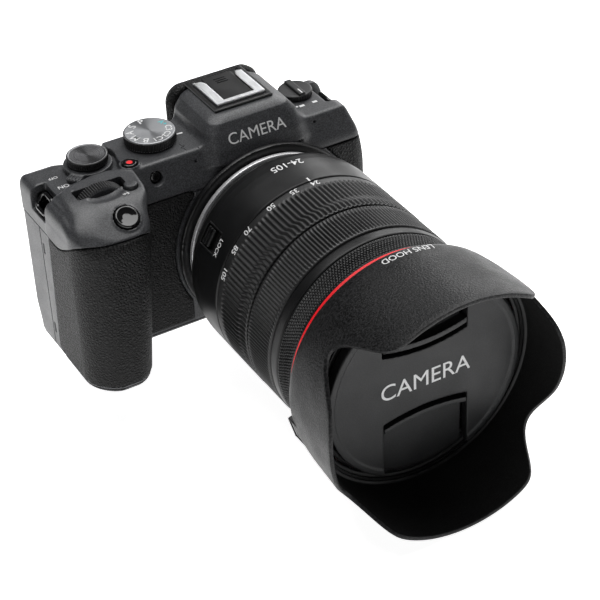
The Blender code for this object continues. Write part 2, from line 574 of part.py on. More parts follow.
# ---- cap with two pinch tabs ------------------------------------------------------------------------
cap_centre = LENS_CENTRE
cap = turned([(38.4, 103.5), (38.4, CAP_T[0]), (40.1, CAP_T[0]), (40.1, 111.2), (39.4, CAP_T[1])],
             cap_centre, AHEAD, ROUND, solid=True)
TAB_X = 17.6
front_y, tab_floor_y = FLANGE_Y - 113, FLANGE_Y - 107.4
cap = combine(cap, [block(-TAB_X, TAB_X, front_y, tab_floor_y, LENS_Z + 18, LENS_Z + 36),
                    block(-TAB_X, TAB_X, front_y, tab_floor_y, LENS_Z - 36, LENS_Z - 12)])
finish("lens_cap", cap, "body_plastic", cap_centre)
for name, low, high, lip in (("cap_tab_upper", 20.6, 35.6, 20.6), ("cap_tab_lower", -35.6, -14.6, -17.4)):
    tab = block(-TAB_X + GAP, TAB_X - GAP, FLANGE_Y - 110.2, FLANGE_Y - 107.7, LENS_Z + low,
                LENS_Z + high)
    rib = block(-TAB_X + GAP, TAB_X - GAP, FLANGE_Y - 111.9, FLANGE_Y - 109, LENS_Z + lip,
                LENS_Z + lip + 2.8)
    at = (0, FLANGE_Y - 109, LENS_Z + (low + high) / 2)
    finish(name, combine(tab, [rib], "UNION"), "body_plastic", at, smooth=False)


# ---- petal hood ------------------------------------------------------------------------------------------
def petal_edge(degrees):
    """Front edge of the hood: long petals at 90 and 270, short ones at 0 and 180 degrees."""
    fold = abs((degrees + 90) % 180 - 90)          # 0 on the short petals, 90 on the long ones
    if fold < 45:
        share = min(1.0, max(0.0, (45 - fold) / 17))
        peak = HOOD_SHORT_T
    else:
        share = min(1.0, max(0.0, (fold - 45) / 15))
        peak = HOOD_LONG_T
    rise = math.sin(share * math.pi / 2) ** 0.8
    return HOOD_NOTCH_T + (peak - HOOD_NOTCH_T) * rise


def hood_outer(t):
    knots = [(HOOD_START_T, 43.2), (97, 46.4), (106.5, 47.7), (125, 49.2), (HOOD_LONG_T, 50.3)]
    for (t0, r0), (t1, r1) in zip(knots, knots[1:]):
        if t <= t1:
            return r0 + (r1 - r0) * (t - t0) / (t1 - t0)
    return knots[-1][1]


rings = []
for i in range(72):
    edge = petal_edge(i * 5)
    a = math.radians(i * 5)
    profile = [(42.2, HOOD_START_T), (43.2, HOOD_START_T), (46.4, 97), (47.7, 106.5),
               (hood_outer(edge) - 0.3, edge), (hood_outer(edge) - 1.8, edge), (45.6, 108.2),
               (42.2, 106.9)]
    rings.append([(r * math.cos(a), FLANGE_Y - t, LENS_Z + r * math.sin(a)) for r, t in profile])
hood = skin_rings(rings, joined=True)
HOOD_LOCK = (99.5, -164)
hood = combine(hood, [lens_block(43.0, 60, HOOD_LOCK[0] - 5.5, HOOD_LOCK[0] + 5.5, 9.4,
                                 HOOD_LOCK[1])])
finish("hood", hood, "hood_plastic", LENS_CENTRE)
button = lens_block(44.2, 46.6, HOOD_LOCK[0] - 5.1, HOOD_LOCK[0] + 5.1, 8.6, HOOD_LOCK[1])
finish("hood_lock_button", button, "body_plastic", lens_point(45, *HOOD_LOCK), smooth=False)

# ---- everything stands on one empty ------------------------------------------------------------------------
root = bpy.data.objects.new("camera", None)
bpy.context.scene.collection.objects.link(root)
for piece in list(bpy.context.scene.objects):
    if piece.type == "MESH":
        piece.parent = root
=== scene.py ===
"""Looks of the compact camera with its 24-105 mm zoom lens, petal hood and lens cap.

Lengths are millimetres unless a name says otherwise; meshes are written in metres.
+Z is up, the lens points to -Y and the hand grip is at -X.
"""
import math

import bpy
import numpy as np
from mathutils import Matrix, Vector


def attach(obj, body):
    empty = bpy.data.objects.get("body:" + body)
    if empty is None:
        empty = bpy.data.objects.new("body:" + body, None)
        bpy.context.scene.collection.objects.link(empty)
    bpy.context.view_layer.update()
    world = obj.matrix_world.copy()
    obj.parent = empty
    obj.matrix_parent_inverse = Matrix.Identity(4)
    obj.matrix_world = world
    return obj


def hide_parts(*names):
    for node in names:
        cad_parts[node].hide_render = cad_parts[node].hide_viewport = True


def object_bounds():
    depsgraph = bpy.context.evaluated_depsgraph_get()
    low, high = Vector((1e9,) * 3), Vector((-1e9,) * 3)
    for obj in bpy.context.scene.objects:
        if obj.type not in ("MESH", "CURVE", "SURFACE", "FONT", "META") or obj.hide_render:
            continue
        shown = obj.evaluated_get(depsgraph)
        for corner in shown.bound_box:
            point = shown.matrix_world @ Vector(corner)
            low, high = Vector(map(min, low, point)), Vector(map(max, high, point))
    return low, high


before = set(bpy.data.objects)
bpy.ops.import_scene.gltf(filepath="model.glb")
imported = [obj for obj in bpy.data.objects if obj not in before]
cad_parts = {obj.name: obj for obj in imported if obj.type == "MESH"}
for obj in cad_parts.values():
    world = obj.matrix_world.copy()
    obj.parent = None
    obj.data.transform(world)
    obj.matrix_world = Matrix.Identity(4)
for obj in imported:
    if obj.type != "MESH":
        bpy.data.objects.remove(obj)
CAD_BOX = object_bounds()
MM = 0.001
TAU = 2 * math.pi

# ---- places shared by several pieces ----
FLANGE_Y, LENS_Z = -20.0, 33.0
RIGHT_X, FRONT_Y, NOSE_Y, REAR_Y = 48.3, -17.0, -41.0, 14.5
GRIP_X = -87.5
DECK_Z, LEFT_DECK_Z, REAR_DECK_Z = 75.5, 74.0, 72.5
BASE_T = 2.0
LEAN_Z, LEAN = 62.5, math.radians(26)
SIDE_SLOPE_Z, SIDE_SLOPE = 52.0, math.radians(18)
NOSE_SLOPE, NOSE_TOP_Y = math.radians(32), -25.6
GRIP_TAPER, SPLIT_Z = 5.5, 59.0
NOSE_AXIS = np.array([0, -math.sin(NOSE_SLOPE), math.cos(NOSE_SLOPE)])
MODE_DIAL = (-36.3, 5.0, 10.2)
QUICK_DIAL = (-62.5, 5.7, 8.0)
PHOTO_DIAL = (28.6, 7.0, 6.9)
MAIN_DIAL = (-67.2, -14.9, 65.6, 11.2)
SHUTTER = (-65.0, -32.6, DECK_Z - (NOSE_TOP_Y + 32.6) * math.tan(NOSE_SLOPE))
FUNCTION = (-56.9, -20.1, DECK_Z)
RECORD = (-50.6, -6.3, DECK_Z)
AF_LAMP = (-43.0, -13.4, 70.0)
PIN_ANGLE, PIN_RADIUS = math.radians(-18), 30.2
RELEASE = (38.0, FRONT_Y, 24.0)


# ---- materials ----
def new_material(name, colour, rough, metallic=0.0, specular=0.5, coat=0.0):
    made = bpy.data.materials.new(name)
    made.use_nodes = True
    shader = made.node_tree.nodes["Principled BSDF"]
    shader.inputs["Base Color"].default_value = (*colour, 1)
    shader.inputs["Roughness"].default_value = rough
    shader.inputs["Metallic"].default_value = metallic
    shader.inputs["Specular IOR Level"].default_value = specular
    shader.inputs["Coat Weight"].default_value = coat
    return made, made.node_tree, shader


def place(tree):
    return tree.nodes.new("ShaderNodeTexCoord").outputs["Object"]


def noise(tree, coords, size_mm, detail=3.0, rough=0.5):
    node = tree.nodes.new("ShaderNodeTexNoise")
    node.inputs["Scale"].default_value = 1000.0 / size_mm
    node.inputs["Detail"].default_value = detail
    node.inputs["Roughness"].default_value = rough
    tree.links.new(coords, node.inputs["Vector"])
    return node.outputs["Fac"]


def spread(tree, value, low, high, to_low, to_high):
    node = tree.nodes.new("ShaderNodeMapRange")
    for key, number in (("From Min", low), ("From Max", high), ("To Min", to_low), ("To Max", to_high)):
        node.inputs[key].default_value = number
    tree.links.new(value, node.inputs["Value"])
    return node.outputs["Result"]


def tint(tree, shader, value, dark, light):
    """Base colour between dark and light by value."""
    ramp = tree.nodes.new("ShaderNodeValToRGB")
    ramp.color_ramp.elements[0].color = (*dark, 1)
    ramp.color_ramp.elements[1].color = (*light, 1)
    tree.links.new(value, ramp.inputs["Fac"])
    tree.links.new(ramp.outputs["Color"], shader.inputs["Base Color"])


def bump(tree, shader, heights):
    """Chain of bumps: (height, depth in mm, strength)."""
    last = None
    for height, depth, strength in heights:
        node = tree.nodes.new("ShaderNodeBump")
        node.inputs["Distance"].default_value = depth * MM
        node.inputs["Strength"].default_value = strength
        tree.links.new(height, node.inputs["Height"])
        if last is not None:
            tree.links.new(last, node.inputs["Normal"])
        last = node.outputs["Normal"]
    tree.links.new(last, shader.inputs["Normal"])


def grained(name, dark, light, rough, grain_mm, depth_mm, strength, specular=0.5, patch_mm=9.0):
    """Moulded plastic: fine speckled grain, slow changes of tone and of gloss."""
    made, tree, shader = new_material(name, light, rough[0], specular=specular)
    at = place(tree)
    fine = noise(tree, at, grain_mm, 2.0, 0.6)
    slow = noise(tree, at, patch_mm, 3.0)
    tint(tree, shader, spread(tree, fine, 0.38, 0.66, 0.0, 1.0), dark, light)
    tree.links.new(spread(tree, slow, 0.35, 0.65, rough[0], rough[1]), shader.inputs["Roughness"])
    bump(tree, shader, [(fine, depth_mm, strength)])
    return made


def pebbled(name, dark, light):
    """Rubber with a wrinkled leather grain."""
    made, tree, shader = new_material(name, light, 0.55, specular=0.27)
    at = place(tree)
    warp = tree.nodes.new("ShaderNodeTexNoise")
    warp.inputs["Scale"].default_value = 450.0
    warp.inputs["Detail"].default_value = 2.0
    tree.links.new(at, warp.inputs["Vector"])
    move = tree.nodes.new("ShaderNodeVectorMath")
    move.operation = "MULTIPLY_ADD"
    move.inputs[1].default_value = (0.0011, 0.0011, 0.0011)
    tree.links.new(warp.outputs["Color"], move.inputs[0])
    tree.links.new(at, move.inputs[2])
    cells = tree.nodes.new("ShaderNodeTexVoronoi")
    cells.feature = "DISTANCE_TO_EDGE"
    cells.inputs["Scale"].default_value = 1000.0 / 1.25
    tree.links.new(move.outputs[0], cells.inputs["Vector"])
    dome = spread(tree, cells.outputs["Distance"], 0.0, 0.32, 0.0, 1.0)
    fine = noise(tree, at, 0.3, 2.0, 0.6)
    tint(tree, shader, dome, dark, light)
    tree.links.new(spread(tree, fine, 0.3, 0.7, 0.46, 0.68), shader.inputs["Roughness"])
    bump(tree, shader, [(dome, 0.30, 0.95), (fine, 0.05, 0.35)])
    return made


def brushed(name, colour, rough, stretch, metallic=1.0, depth=0.02, centre=None):
    """Metal with fine lines: stretched along an axis, or in circles about a point."""
    made, tree, shader = new_material(name, colour, rough, metallic)
    scaled = tree.nodes.new("ShaderNodeVectorMath")
    scaled.operation = "MULTIPLY"
    scaled.inputs[1].default_value = stretch
    tree.links.new(place(tree), scaled.inputs[0])
    if centre is None:
        lines = noise(tree, scaled.outputs[0], 0.35, 3.0, 0.7)
    else:
        away = tree.nodes.new("ShaderNodeVectorMath")
        away.operation = "DISTANCE"
        away.inputs[1].default_value = [c * MM * s for c, s in zip(centre, stretch)]
        tree.links.new(scaled.outputs[0], away.inputs[0])
        lines = noise(tree, away.outputs["Value"], 0.3, 2.0, 0.6)
        turn = tree.nodes.new("ShaderNodeTangent")
        turn.direction_type, turn.axis = "RADIAL", "Z"
        tree.links.new(turn.outputs["Tangent"], shader.inputs["Tangent"])
        shader.inputs["Anisotropic"].default_value = 0.85
    tree.links.new(spread(tree, lines, 0.3, 0.7, rough * 0.75, rough * 1.35), shader.inputs["Roughness"])
    bump(tree, shader, [(lines, depth, 0.5)])
    return made


def painted(name, colour, rough=0.4, speck=0.12):
    """Printed ink or lacquer with a faint unevenness."""
    made, tree, shader = new_material(name, colour, rough)
    fine = noise(tree, place(tree), 0.4, 2.0)
    dark = tuple(c * (1 - speck) for c in colour)
    tint(tree, shader, spread(tree, fine, 0.35, 0.65, 0.0, 1.0), dark, colour)
    bump(tree, shader, [(fine, 0.01, 0.3)])
    return made


def glossy(name, colour, rough, coat=0.3):
    """Smooth plastic or coated glass, with slow changes of gloss."""
    made, tree, shader = new_material(name, colour, rough, coat=coat)
    slow = noise(tree, place(tree), 6.0, 3.0)
    tree.links.new(spread(tree, slow, 0.3, 0.7, rough * 0.8, rough * 1.3), shader.inputs["Roughness"])
    return made


LOOK = {
    "body": grained("body_plastic_fine", (0.024, 0.0246, 0.0265), (0.073, 0.0747, 0.080), (0.36, 0.44),
                    0.50, 0.07, 0.42),
    "skin": pebbled("rubber_skin_fine", (0.0012, 0.0012, 0.0013), (0.0085, 0.0085, 0.009)),
    "lens": grained("lens_plastic_fine", (0.004, 0.0041, 0.0044), (0.0085, 0.0086, 0.009), (0.34, 0.42),
                    0.28, 0.02, 0.18, specular=0.30),
    "rubber": grained("ring_rubber_fine", (0.008, 0.008, 0.0083), (0.016, 0.016, 0.0165), (0.42, 0.52),
                      0.35, 0.03, 0.25),
    "hood": grained("hood_plastic_fine", (0.0012, 0.0012, 0.0014), (0.024, 0.024, 0.025), (0.36, 0.46),
                    0.70, 0.24, 0.85, specular=0.22),
    "flock": grained("hood_flock", (0.005, 0.005, 0.005), (0.014, 0.014, 0.014), (0.85, 0.95),
                     0.3, 0.05, 0.5, specular=0.15),
    "black": grained("satin_black", (0.006, 0.006, 0.0065), (0.012, 0.012, 0.0125), (0.30, 0.40),
                     0.5, 0.02, 0.2),
    "cap": grained("cap_plastic", (0.007, 0.0072, 0.0078), (0.018, 0.0185, 0.0195), (0.40, 0.48),
                   0.40, 0.04, 0.30, specular=0.36),
    # near-black and rough: painted shade, laid in the switch pockets and along the deck's seam lines
    "painted_recess_shade": grained("painted_shade_black", (0.002, 0.002, 0.002), (0.005, 0.005, 0.005), (0.7, 0.8),
                    0.5, 0.02, 0.2, specular=0.2),
    "gloss": glossy("gloss_black_fine", (0.006, 0.006, 0.0065), 0.07),
    "chrome": brushed("chrome_fine", (0.80, 0.80, 0.81), 0.30, (1, 1, 1), 0.55, depth=0.002),
    "shoe": brushed("shoe_silver", (0.86, 0.87, 0.88), 0.36, (1, 0.06, 1)),
    "steel": brushed("steel_fine", (0.42, 0.42, 0.43), 0.30, (1, 0.1, 1)),
    "dial_face": brushed("dial_face_grey", (0.30, 0.305, 0.315), 0.36, (1, 1, 0), 0.75,
                         0.02, (MODE_DIAL[0], MODE_DIAL[1], 0)),
    "spun": brushed("quick_dial_spun", (0.16, 0.16, 0.165), 0.28, (1, 1, 0), 0.85,
                    0.003, (QUICK_DIAL[0], QUICK_DIAL[1], 0)),
    "knurl": grained("dial_knurl", (0.012, 0.012, 0.0125), (0.024, 0.024, 0.025), (0.32, 0.42),
                     0.35, 0.02, 0.25),
    "red": painted("red_lacquer", (0.93, 0.004, 0.012), 0.5, 0.04),
    "white": painted("white_ink", (0.80, 0.80, 0.80), 0.5),
    "grey_ink": painted("grey_ink", (0.30, 0.31, 0.32), 0.5),
    "cyan": painted("cyan_ink", (0.08, 0.55, 0.60), 0.5),
    "glass": glossy("coated_glass", (0.02, 0.03, 0.045), 0.03, 1.0),
    "sensor": glossy("sensor_filter", (0.10, 0.16, 0.12), 0.12),
}


# ---- meshes ----
def piece(name, points, faces, look, body, nodes=(), sharp=35, spots=None):
    """A mesh piece in millimetres that rides on a body and stands for CAD nodes."""
    mesh = bpy.data.meshes.new(name)
    mesh.from_pydata((np.asarray(points, float) * MM).tolist(), [], [list(map(int, f)) for f in faces])
    mesh.materials.append(LOOK[look])
    mesh.update()
    if sharp is not None:
        mesh.shade_smooth()
        mesh.set_sharp_from_angle(angle=math.radians(sharp))
    made = bpy.data.objects.new(name, mesh)
    bpy.context.scene.collection.objects.link(made)
    if spots:
        paint(made, spots)
    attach(made, body)
    if nodes:
        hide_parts(*nodes)
    return made


def paint(made, spots):
    """Give faces another look: (look, test) where test takes centres and normals, in mm."""
    mesh = made.data
    n = len(mesh.polygons)
    centres = np.zeros(n * 3)
    normals = np.zeros(n * 3)
    mesh.polygons.foreach_get("center", centres)
    mesh.polygons.foreach_get("normal", normals)
    centres = centres.reshape(-1, 3) / MM
    normals = normals.reshape(-1, 3)
    index = np.zeros(n, int)
    for look, test in spots:
        mesh.materials.append(LOOK[look])
        index[test(centres, normals)] = len(mesh.materials) - 1
    mesh.polygons.foreach_set("material_index", index)


def grid_faces(rows, columns, wrap_rows, wrap_columns):
    """Quads of a grid stored row by row."""
    i = np.arange(rows if wrap_rows else rows - 1)
    j = np.arange(columns if wrap_columns else columns - 1)
    i, j = (a.ravel() for a in np.meshgrid(i, j, indexing="ij"))
    i2, j2 = (i + 1) % rows, (j + 1) % columns
    return np.stack([i * columns + j, i * columns + j2, i2 * columns + j2, i2 * columns + j], 1)


def about(axis):
    """Two directions square to axis; for the lens they are +X and +Z."""
    w = np.array(axis, float)
    w /= np.linalg.norm(w)
    u = np.array([0.0, 1, 0]) if abs(w[0]) > 0.9 else np.array([1.0, 0, 0])
    u -= w * u.dot(w)
    u /= np.linalg.norm(u)
    return u, np.cross(w, u), w


LENS = ((0, FLANGE_Y, LENS_Z), (0, -1, 0))


def spun(profile, place_at, segments=128, ripple=None):
    """Points and faces of a closed turned ring. profile is a closed loop of (radius, height), which
    runs outwards on the low side and inwards on the high side. ripple(angle, radius, height) adds
    to the radius."""
    centre, axis = place_at
    u, v, w = about(axis)
    loop = np.array(profile, float)
    angle = np.arange(segments) * TAU / segments
    a, r = np.meshgrid(angle, loop[:, 0], indexing="ij")
    h = np.broadcast_to(loop[:, 1], a.shape)
    if ripple is not None:
        r = r + ripple(a, r, h)
    points = (np.array(centre) + r[..., None] * (np.cos(a)[..., None] * u + np.sin(a)[..., None] * v)
              + h[..., None] * w)
    return points.reshape(-1, 3), grid_faces(segments, len(loop), True, True)


def capped(profile, place_at, segments=96, ripple=None):
    """Points and faces of a turned solid that closes on its axis at both ends."""
    centre, axis = place_at
    u, v, w = about(axis)
    loop = np.array(profile, float)
    angle = np.arange(segments) * TAU / segments
    r, a = np.meshgrid(loop[:, 0], angle, indexing="ij")
    h = np.broadcast_to(loop[:, 1][:, None], a.shape)
    if ripple is not None:
        r = r + ripple(a, r, h)
    points = (np.array(centre) + r[..., None] * (np.cos(a)[..., None] * u + np.sin(a)[..., None] * v)
              + h[..., None] * w)
    n = len(loop)
    faces = [f for f in grid_faces(n, segments, False, True)]
    ends = np.array([np.array(centre) + w * loop[0, 1], np.array(centre) + w * loop[-1, 1]])
    first, last = n * segments, n * segments + 1
    j = np.arange(segments)
    k = (j + 1) % segments
    tops = (n - 1) * segments
    fans = [(first, b, a_) for a_, b in zip(j, k)] + [(last, tops + a_, tops + b) for a_, b in zip(j, k)]
    return np.vstack([points.reshape(-1, 3), ends]), faces + fans


def rounded(profile, radius=0.3, steps=3):
    """Closed loop of (radius, height) points with its corners rounded."""
    out = []
    n = len(profile)
    for i in range(n):
        here = np.array(profile[i], float)
        back, ahead = np.array(profile[i - 1]) - here, np.array(profile[(i + 1) % n]) - here
        lb, la = np.linalg.norm(back), np.linalg.norm(ahead)
        reach = min(radius, lb / 2.2, la / 2.2)
        a, b = here + back / lb * reach, here + ahead / la * reach
        for k in range(steps + 1):
            t = k / steps
            out.append(tuple((1 - t) ** 2 * a + 2 * t * (1 - t) * here + t * t * b))
    return out


def rows_between(values, step):
    """Values with extra ones between them, no further apart than step."""
    out = [values[0]]
    for a, b in zip(values, values[1:]):
        n = max(1, int(math.ceil(abs(b - a) / step)))
        out += [a + (b - a) * k / n for k in range(1, n + 1)]
    return out


def smooth(t, a, b):
    """0 at a, 1 at b, easing in and out."""
    s = np.clip((t - a) / (b - a), 0, 1)
    return s * s * (3 - 2 * s)


# ---- lettering and marks ----
def letters(text, height):
    """Flat outline mesh of a short text: points (x, y) centred on zero, and faces."""
    curve = bpy.data.curves.new("text", "FONT")
    curve.body = text
    curve.size = height / 0.69
    curve.align_x = "CENTER"
    curve.offset = height * 0.012 if height < 4 else 0.0
    holder = bpy.data.objects.new("text", curve)
    bpy.context.scene.collection.objects.link(holder)
    shape = holder.evaluated_get(bpy.context.evaluated_depsgraph_get()).to_mesh()
    points = np.array([v.co for v in shape.vertices])[:, :2]
    faces = [tuple(p.vertices) for p in shape.polygons]
    holder.to_mesh_clear()
    bpy.data.objects.remove(holder)
    points[:, 1] -= height / 2
    return points, faces


def sheet_of(points, faces, lay, thick=0.08, sink=0.05):
    """Thin solid from flat points: lay(x, y, height) gives the place in space."""
    n = len(points)
    top = lay(points[:, 0], points[:, 1], thick - sink)
    low = lay(points[:, 0], points[:, 1], -sink)
    used = {}
    for f in faces:
        for a, b in zip(f, f[1:] + f[:1]):
            used[(a, b)] = used.get((a, b), 0) + 1
    sides = [(b, a, a + n, b + n) for (a, b) in used if (b, a) not in used]
    under = [tuple(i + n for i in reversed(f)) for f in faces]
    return np.vstack([top, low]), list(faces) + under + sides


def on_lens(degrees, t, radius):
    """Lettering on the barrel, whose upper side points to the front of the lens."""
    def lay(x, y, height):
        a = math.radians(degrees) + x / radius
        r = radius + height
        return np.stack([r * np.cos(a), FLANGE_Y - t - y, LENS_Z + r * np.sin(a)], 1)
    return lay


def on_plane(centre, right, up):
    """Lettering on a plane."""
    c, u, v = np.array(centre, float), np.array(right, float), np.array(up, float)
    u, v = u / np.linalg.norm(u), v / np.linalg.norm(v)
    w = np.cross(u, v)

    def lay(x, y, height):
        return c + x[:, None] * u + y[:, None] * v + (np.zeros_like(x) + height)[:, None] * w
    return lay


def oblong(width, height):
    """Flat bar, centred."""
    x, y = width / 2, height / 2
    return np.array([(-x, -y), (x, -y), (x, y), (-x, y)]), [(0, 1, 2, 3)]


def merged(parts):
    """One list of points and faces from several."""
    points, faces, n = [], [], 0
    for p, f in parts:
        points.append(np.asarray(p, float))
        faces += [tuple(int(i) + n for i in face) for face in f]
        n += len(p)
    return np.vstack(points), faces


def print_marks(name, marks, look, body):
    """One piece from (flat points, faces, lay) marks."""
    parts = [sheet_of(np.asarray(p, float), [tuple(f) for f in faces], lay) for p, faces, lay in marks]
    points, faces = merged(parts)
    return piece(name, points, faces, look, body, sharp=None)


# ---- solids from distance fields ----
def smin(a, b, k):
    """Smaller of two distances, blended where they differ by less than k."""
    h = np.maximum(k - np.abs(a - b), 0) / k
    return np.minimum(a, b) - h * h * k / 4


def smax(a, b, k):
    return -smin(-a, -b, k)


def carve(a, b, k=0.5):
    """a with b taken away, edge softened by k."""
    return smax(a, -b, k)


def box_field(p, low, high, r=0.0):
    """Distance to a box whose edges are rounded by r."""
    low, high = np.array(low, float), np.array(high, float)
    q = np.abs(p - (low + high) / 2) - (high - low) / 2 + r
    return np.linalg.norm(np.maximum(q, 0), axis=1) + np.minimum(q.max(1), 0) - r


def rod_field(p, centre, axis, r, h0, h1, k=0.3):
    """Distance to a round rod from h0 to h1 along its axis, its rims softened by k."""
    w = np.array(axis, float)
    w /= np.linalg.norm(w)
    d = p - np.array(centre, float)
    h = d @ w
    side = np.linalg.norm(d - h[:, None] * w, axis=1) - r
    return smax(side, np.maximum(h0 - h, h - h1), k)


def ball_field(p, centre, radii):
    """Distance, near the surface, to an ellipsoid."""
    q = (p - np.array(centre, float)) / np.array(radii, float)
    n = np.linalg.norm(q, axis=1)
    g = np.linalg.norm(q / np.array(radii, float), axis=1)
    return n * (n - 1) / np.maximum(g, 1e-9)


def polygon_field(x, y, corners):
    """Distance to a closed outline, negative inside."""
    best = np.full(x.shape, 1e9)
    sign = np.ones(x.shape)
    for (x0, y0), (x1, y1) in zip(corners, corners[1:] + corners[:1]):
        ex, ey = x1 - x0, y1 - y0
        wx, wy = x - x0, y - y0
        t = np.clip((wx * ex + wy * ey) / (ex * ex + ey * ey), 0, 1)
        best = np.minimum(best, (wx - ex * t) ** 2 + (wy - ey * t) ** 2)
        cross = ex * wy - ey * wx
        flip = ((y >= y0) & (y < y1) & (cross > 0)) | ((y < y0) & (y >= y1) & (cross < 0))
        sign = np.where(flip, -sign, sign)
    return sign * np.sqrt(best)


CORNERS = [(i, j, k) for i in (0, 1) for j in (0, 1) for k in (0, 1)]
BLOCK = 4


def surface(field, low, high, step, settle=4):
    """Closed quad mesh of the zero level of field inside a box, drawn onto the true surface."""
    low = np.array(low, float) - step * 1.5
    counts = (np.ceil((np.array(high, float) + step * 1.5 - low) / step / BLOCK).astype(int)) * BLOCK
    blocks = counts // BLOCK
    centre = [low[i] + (np.arange(blocks[i]) + 0.5) * BLOCK * step - step / 2 for i in range(3)]
    mid = np.stack(np.meshgrid(*centre, indexing="ij"), -1).reshape(-1, 3)
    rough = field(mid)
    near = (np.abs(rough) < step * BLOCK * 1.25).reshape(blocks)
    for axis in range(3):
        near = np.repeat(near, BLOCK, axis=axis)
    values = np.where(rough < 0, -9.0, 9.0).reshape(blocks)
    for axis in range(3):
        values = np.repeat(values, BLOCK, axis=axis)
    ijk = np.argwhere(near)
    values[near] = field(low + ijk * step)
    for axis in range(3):
        edge = [slice(None)] * 3
        edge[axis] = [0, -1]
        values[tuple(edge)] = 9.0
    inside = values < 0
    total = np.zeros(counts - 1, np.int8)
    for i, j, k in CORNERS:
        total += inside[i:counts[0] - 1 + i, j:counts[1] - 1 + j, k:counts[2] - 1 + k]
    mixed = (total > 0) & (total < 8)
    number = np.full(counts - 1, -1, np.int64)
    cells = np.argwhere(mixed)
    number[mixed] = np.arange(len(cells))
    corner = np.array(CORNERS)
    at = [values[tuple((cells + c).T)] for c in corner]
    where, hits = np.zeros((len(cells), 3)), np.zeros(len(cells))
    for a in range(8):
        for b in range(a + 1, 8):
            if np.abs(corner[a] - corner[b]).sum() != 1:
                continue
            crossing = (at[a] < 0) != (at[b] < 0)
            t = np.where(crossing, at[a] / np.where(crossing, at[a] - at[b], 1), 0)
            where += crossing[:, None] * (corner[a] + t[:, None] * (corner[b] - corner[a]))
            hits += crossing
    points = low + (cells + where / hits[:, None]) * step
    faces = []
    for axis in range(3):
        u, v = (axis + 1) % 3, (axis + 2) % 3
        first = [slice(1, -1)] * 3
        first[axis] = slice(0, -1)
        second = list(first)
        second[axis] = slice(1, None)
        a, b = inside[tuple(first)], inside[tuple(second)]
        for flip, change in ((False, a & ~b), (True, ~a & b)):
            base = np.argwhere(change)
            base[:, u] += 1
            base[:, v] += 1
            quad = []
            for du, dv in ((-1, -1), (0, -1), (0, 0), (-1, 0)):
                cell = base.copy()
                cell[:, u] += du
                cell[:, v] += dv
                quad.append(number[tuple(cell.T)])
            quad = np.stack(quad, 1)
            faces.append(quad[:, ::-1] if flip else quad)
    faces = np.vstack(faces)
    for _ in range(settle):
        d = field(points)
        slope = np.stack([field(points + np.eye(3)[i] * 0.02) - field(points - np.eye(3)[i] * 0.02)
                          for i in range(3)], 1) / 0.04
        size = np.maximum((slope ** 2).sum(1), 0.2)
        shift = -slope * (d / size)[:, None]
        length = np.linalg.norm(shift, axis=1)
        shift *= np.minimum(1, 0.35 * step / np.maximum(length, 1e-9))[:, None]
        points = points + shift
    return points, faces


def solid(name, field, low, high, step, look, body, nodes=(), spots=None):
    """A piece whose skin is the zero level of field inside a box."""
    points, faces = surface(field, low, high, step)
    return piece(name, points, faces, look, body, nodes, spots=spots)


# ---- lens ----
ZOOM_T, FOCUS_T, CONTROL_T = (33.5, 56.0), (57.0, 73.1), (78.8, 88.4)
BEZEL_END_T = 107.3
BARREL_R, BARREL_END_T = 41.75, 32.6
ZOOM_RIBS, FOCUS_RIBS, KNURL_COUNT, KNURL_PITCH = 132, 180, 208, 2.25


def lens_spun(name, profile, look, body, nodes, segments=192, ripple=None, radius=0.25, sharp=35,
              spots=None):
    """Ring turned about the lens axis; its corners are rounded by radius."""
    loop = rounded(profile, radius) if radius else profile
    points, faces = spun(loop, LENS, segments, ripple)
    return piece(name, points, faces, look, body, nodes, sharp, spots)


def rib_wave(angle, ribs, narrow):
    """0 in the valleys and 1 on the crests of ribs spread round a circle."""
    return (0.5 + 0.5 * np.cos(angle * ribs)) ** narrow


def zoom_ripple(angle, r, t):
    kink = smooth(t, 48.6, 51.9) * 1.15 / 41.7
    crest = rib_wave(angle + kink, ZOOM_RIBS, 0.85)
    zone = smooth(t, 36.9, 37.8) * (1 - smooth(t, 55.1, 55.7))
    outer = r > 41.2
    return np.where(outer, -0.85 * (1 - crest) * zone, 0)


def focus_ripple(angle, r, t):
    crest = rib_wave(angle, FOCUS_RIBS, 0.8)
    zone = smooth(t, 57.9, 58.7) * (1 - smooth(t, 71.3, 72.0))
    return np.where(r > 41.0, -0.62 * (1 - crest) * zone, 0)


def control_ripple(angle, r, t):
    turns = angle * KNURL_COUNT / TAU
    one = np.abs((turns + t / KNURL_PITCH) % 1 - 0.5) * 2
    two = np.abs((turns - t / KNURL_PITCH) % 1 - 0.5) * 2
    groove = 1 - np.minimum(smooth(1 - one, 0.0, 0.55), smooth(1 - two, 0.0, 0.55))
    zone = smooth(t, 79.2, 79.9) * (1 - smooth(t, 87.5, 88.1))
    return np.where(r > 40.8, -0.42 * groove * zone, 0)


# angle round the barrel, distance ahead of the flange, half length of the bed
SWITCHES = {"zoom_lock_switch": (148, 19.5, 5.3), "focus_switch": (24, 15.5, 4.45),
            "stabiliser_switch": (24, 24.5, 4.45)}


def grip_ring(name, node, span, radius, look, segments, step, ripple):
    t0, t1 = span
    outer = [(radius, t) for t in rows_between([t0 + 0.5, t1 - 0.5], step)]
    profile = [(38.3, t0), (radius - 0.35, t0)] + outer + [(radius - 0.35, t1), (38.3, t1)]
    return lens_spun(name, profile, look, node, [node], segments, ripple, None, sharp=60)


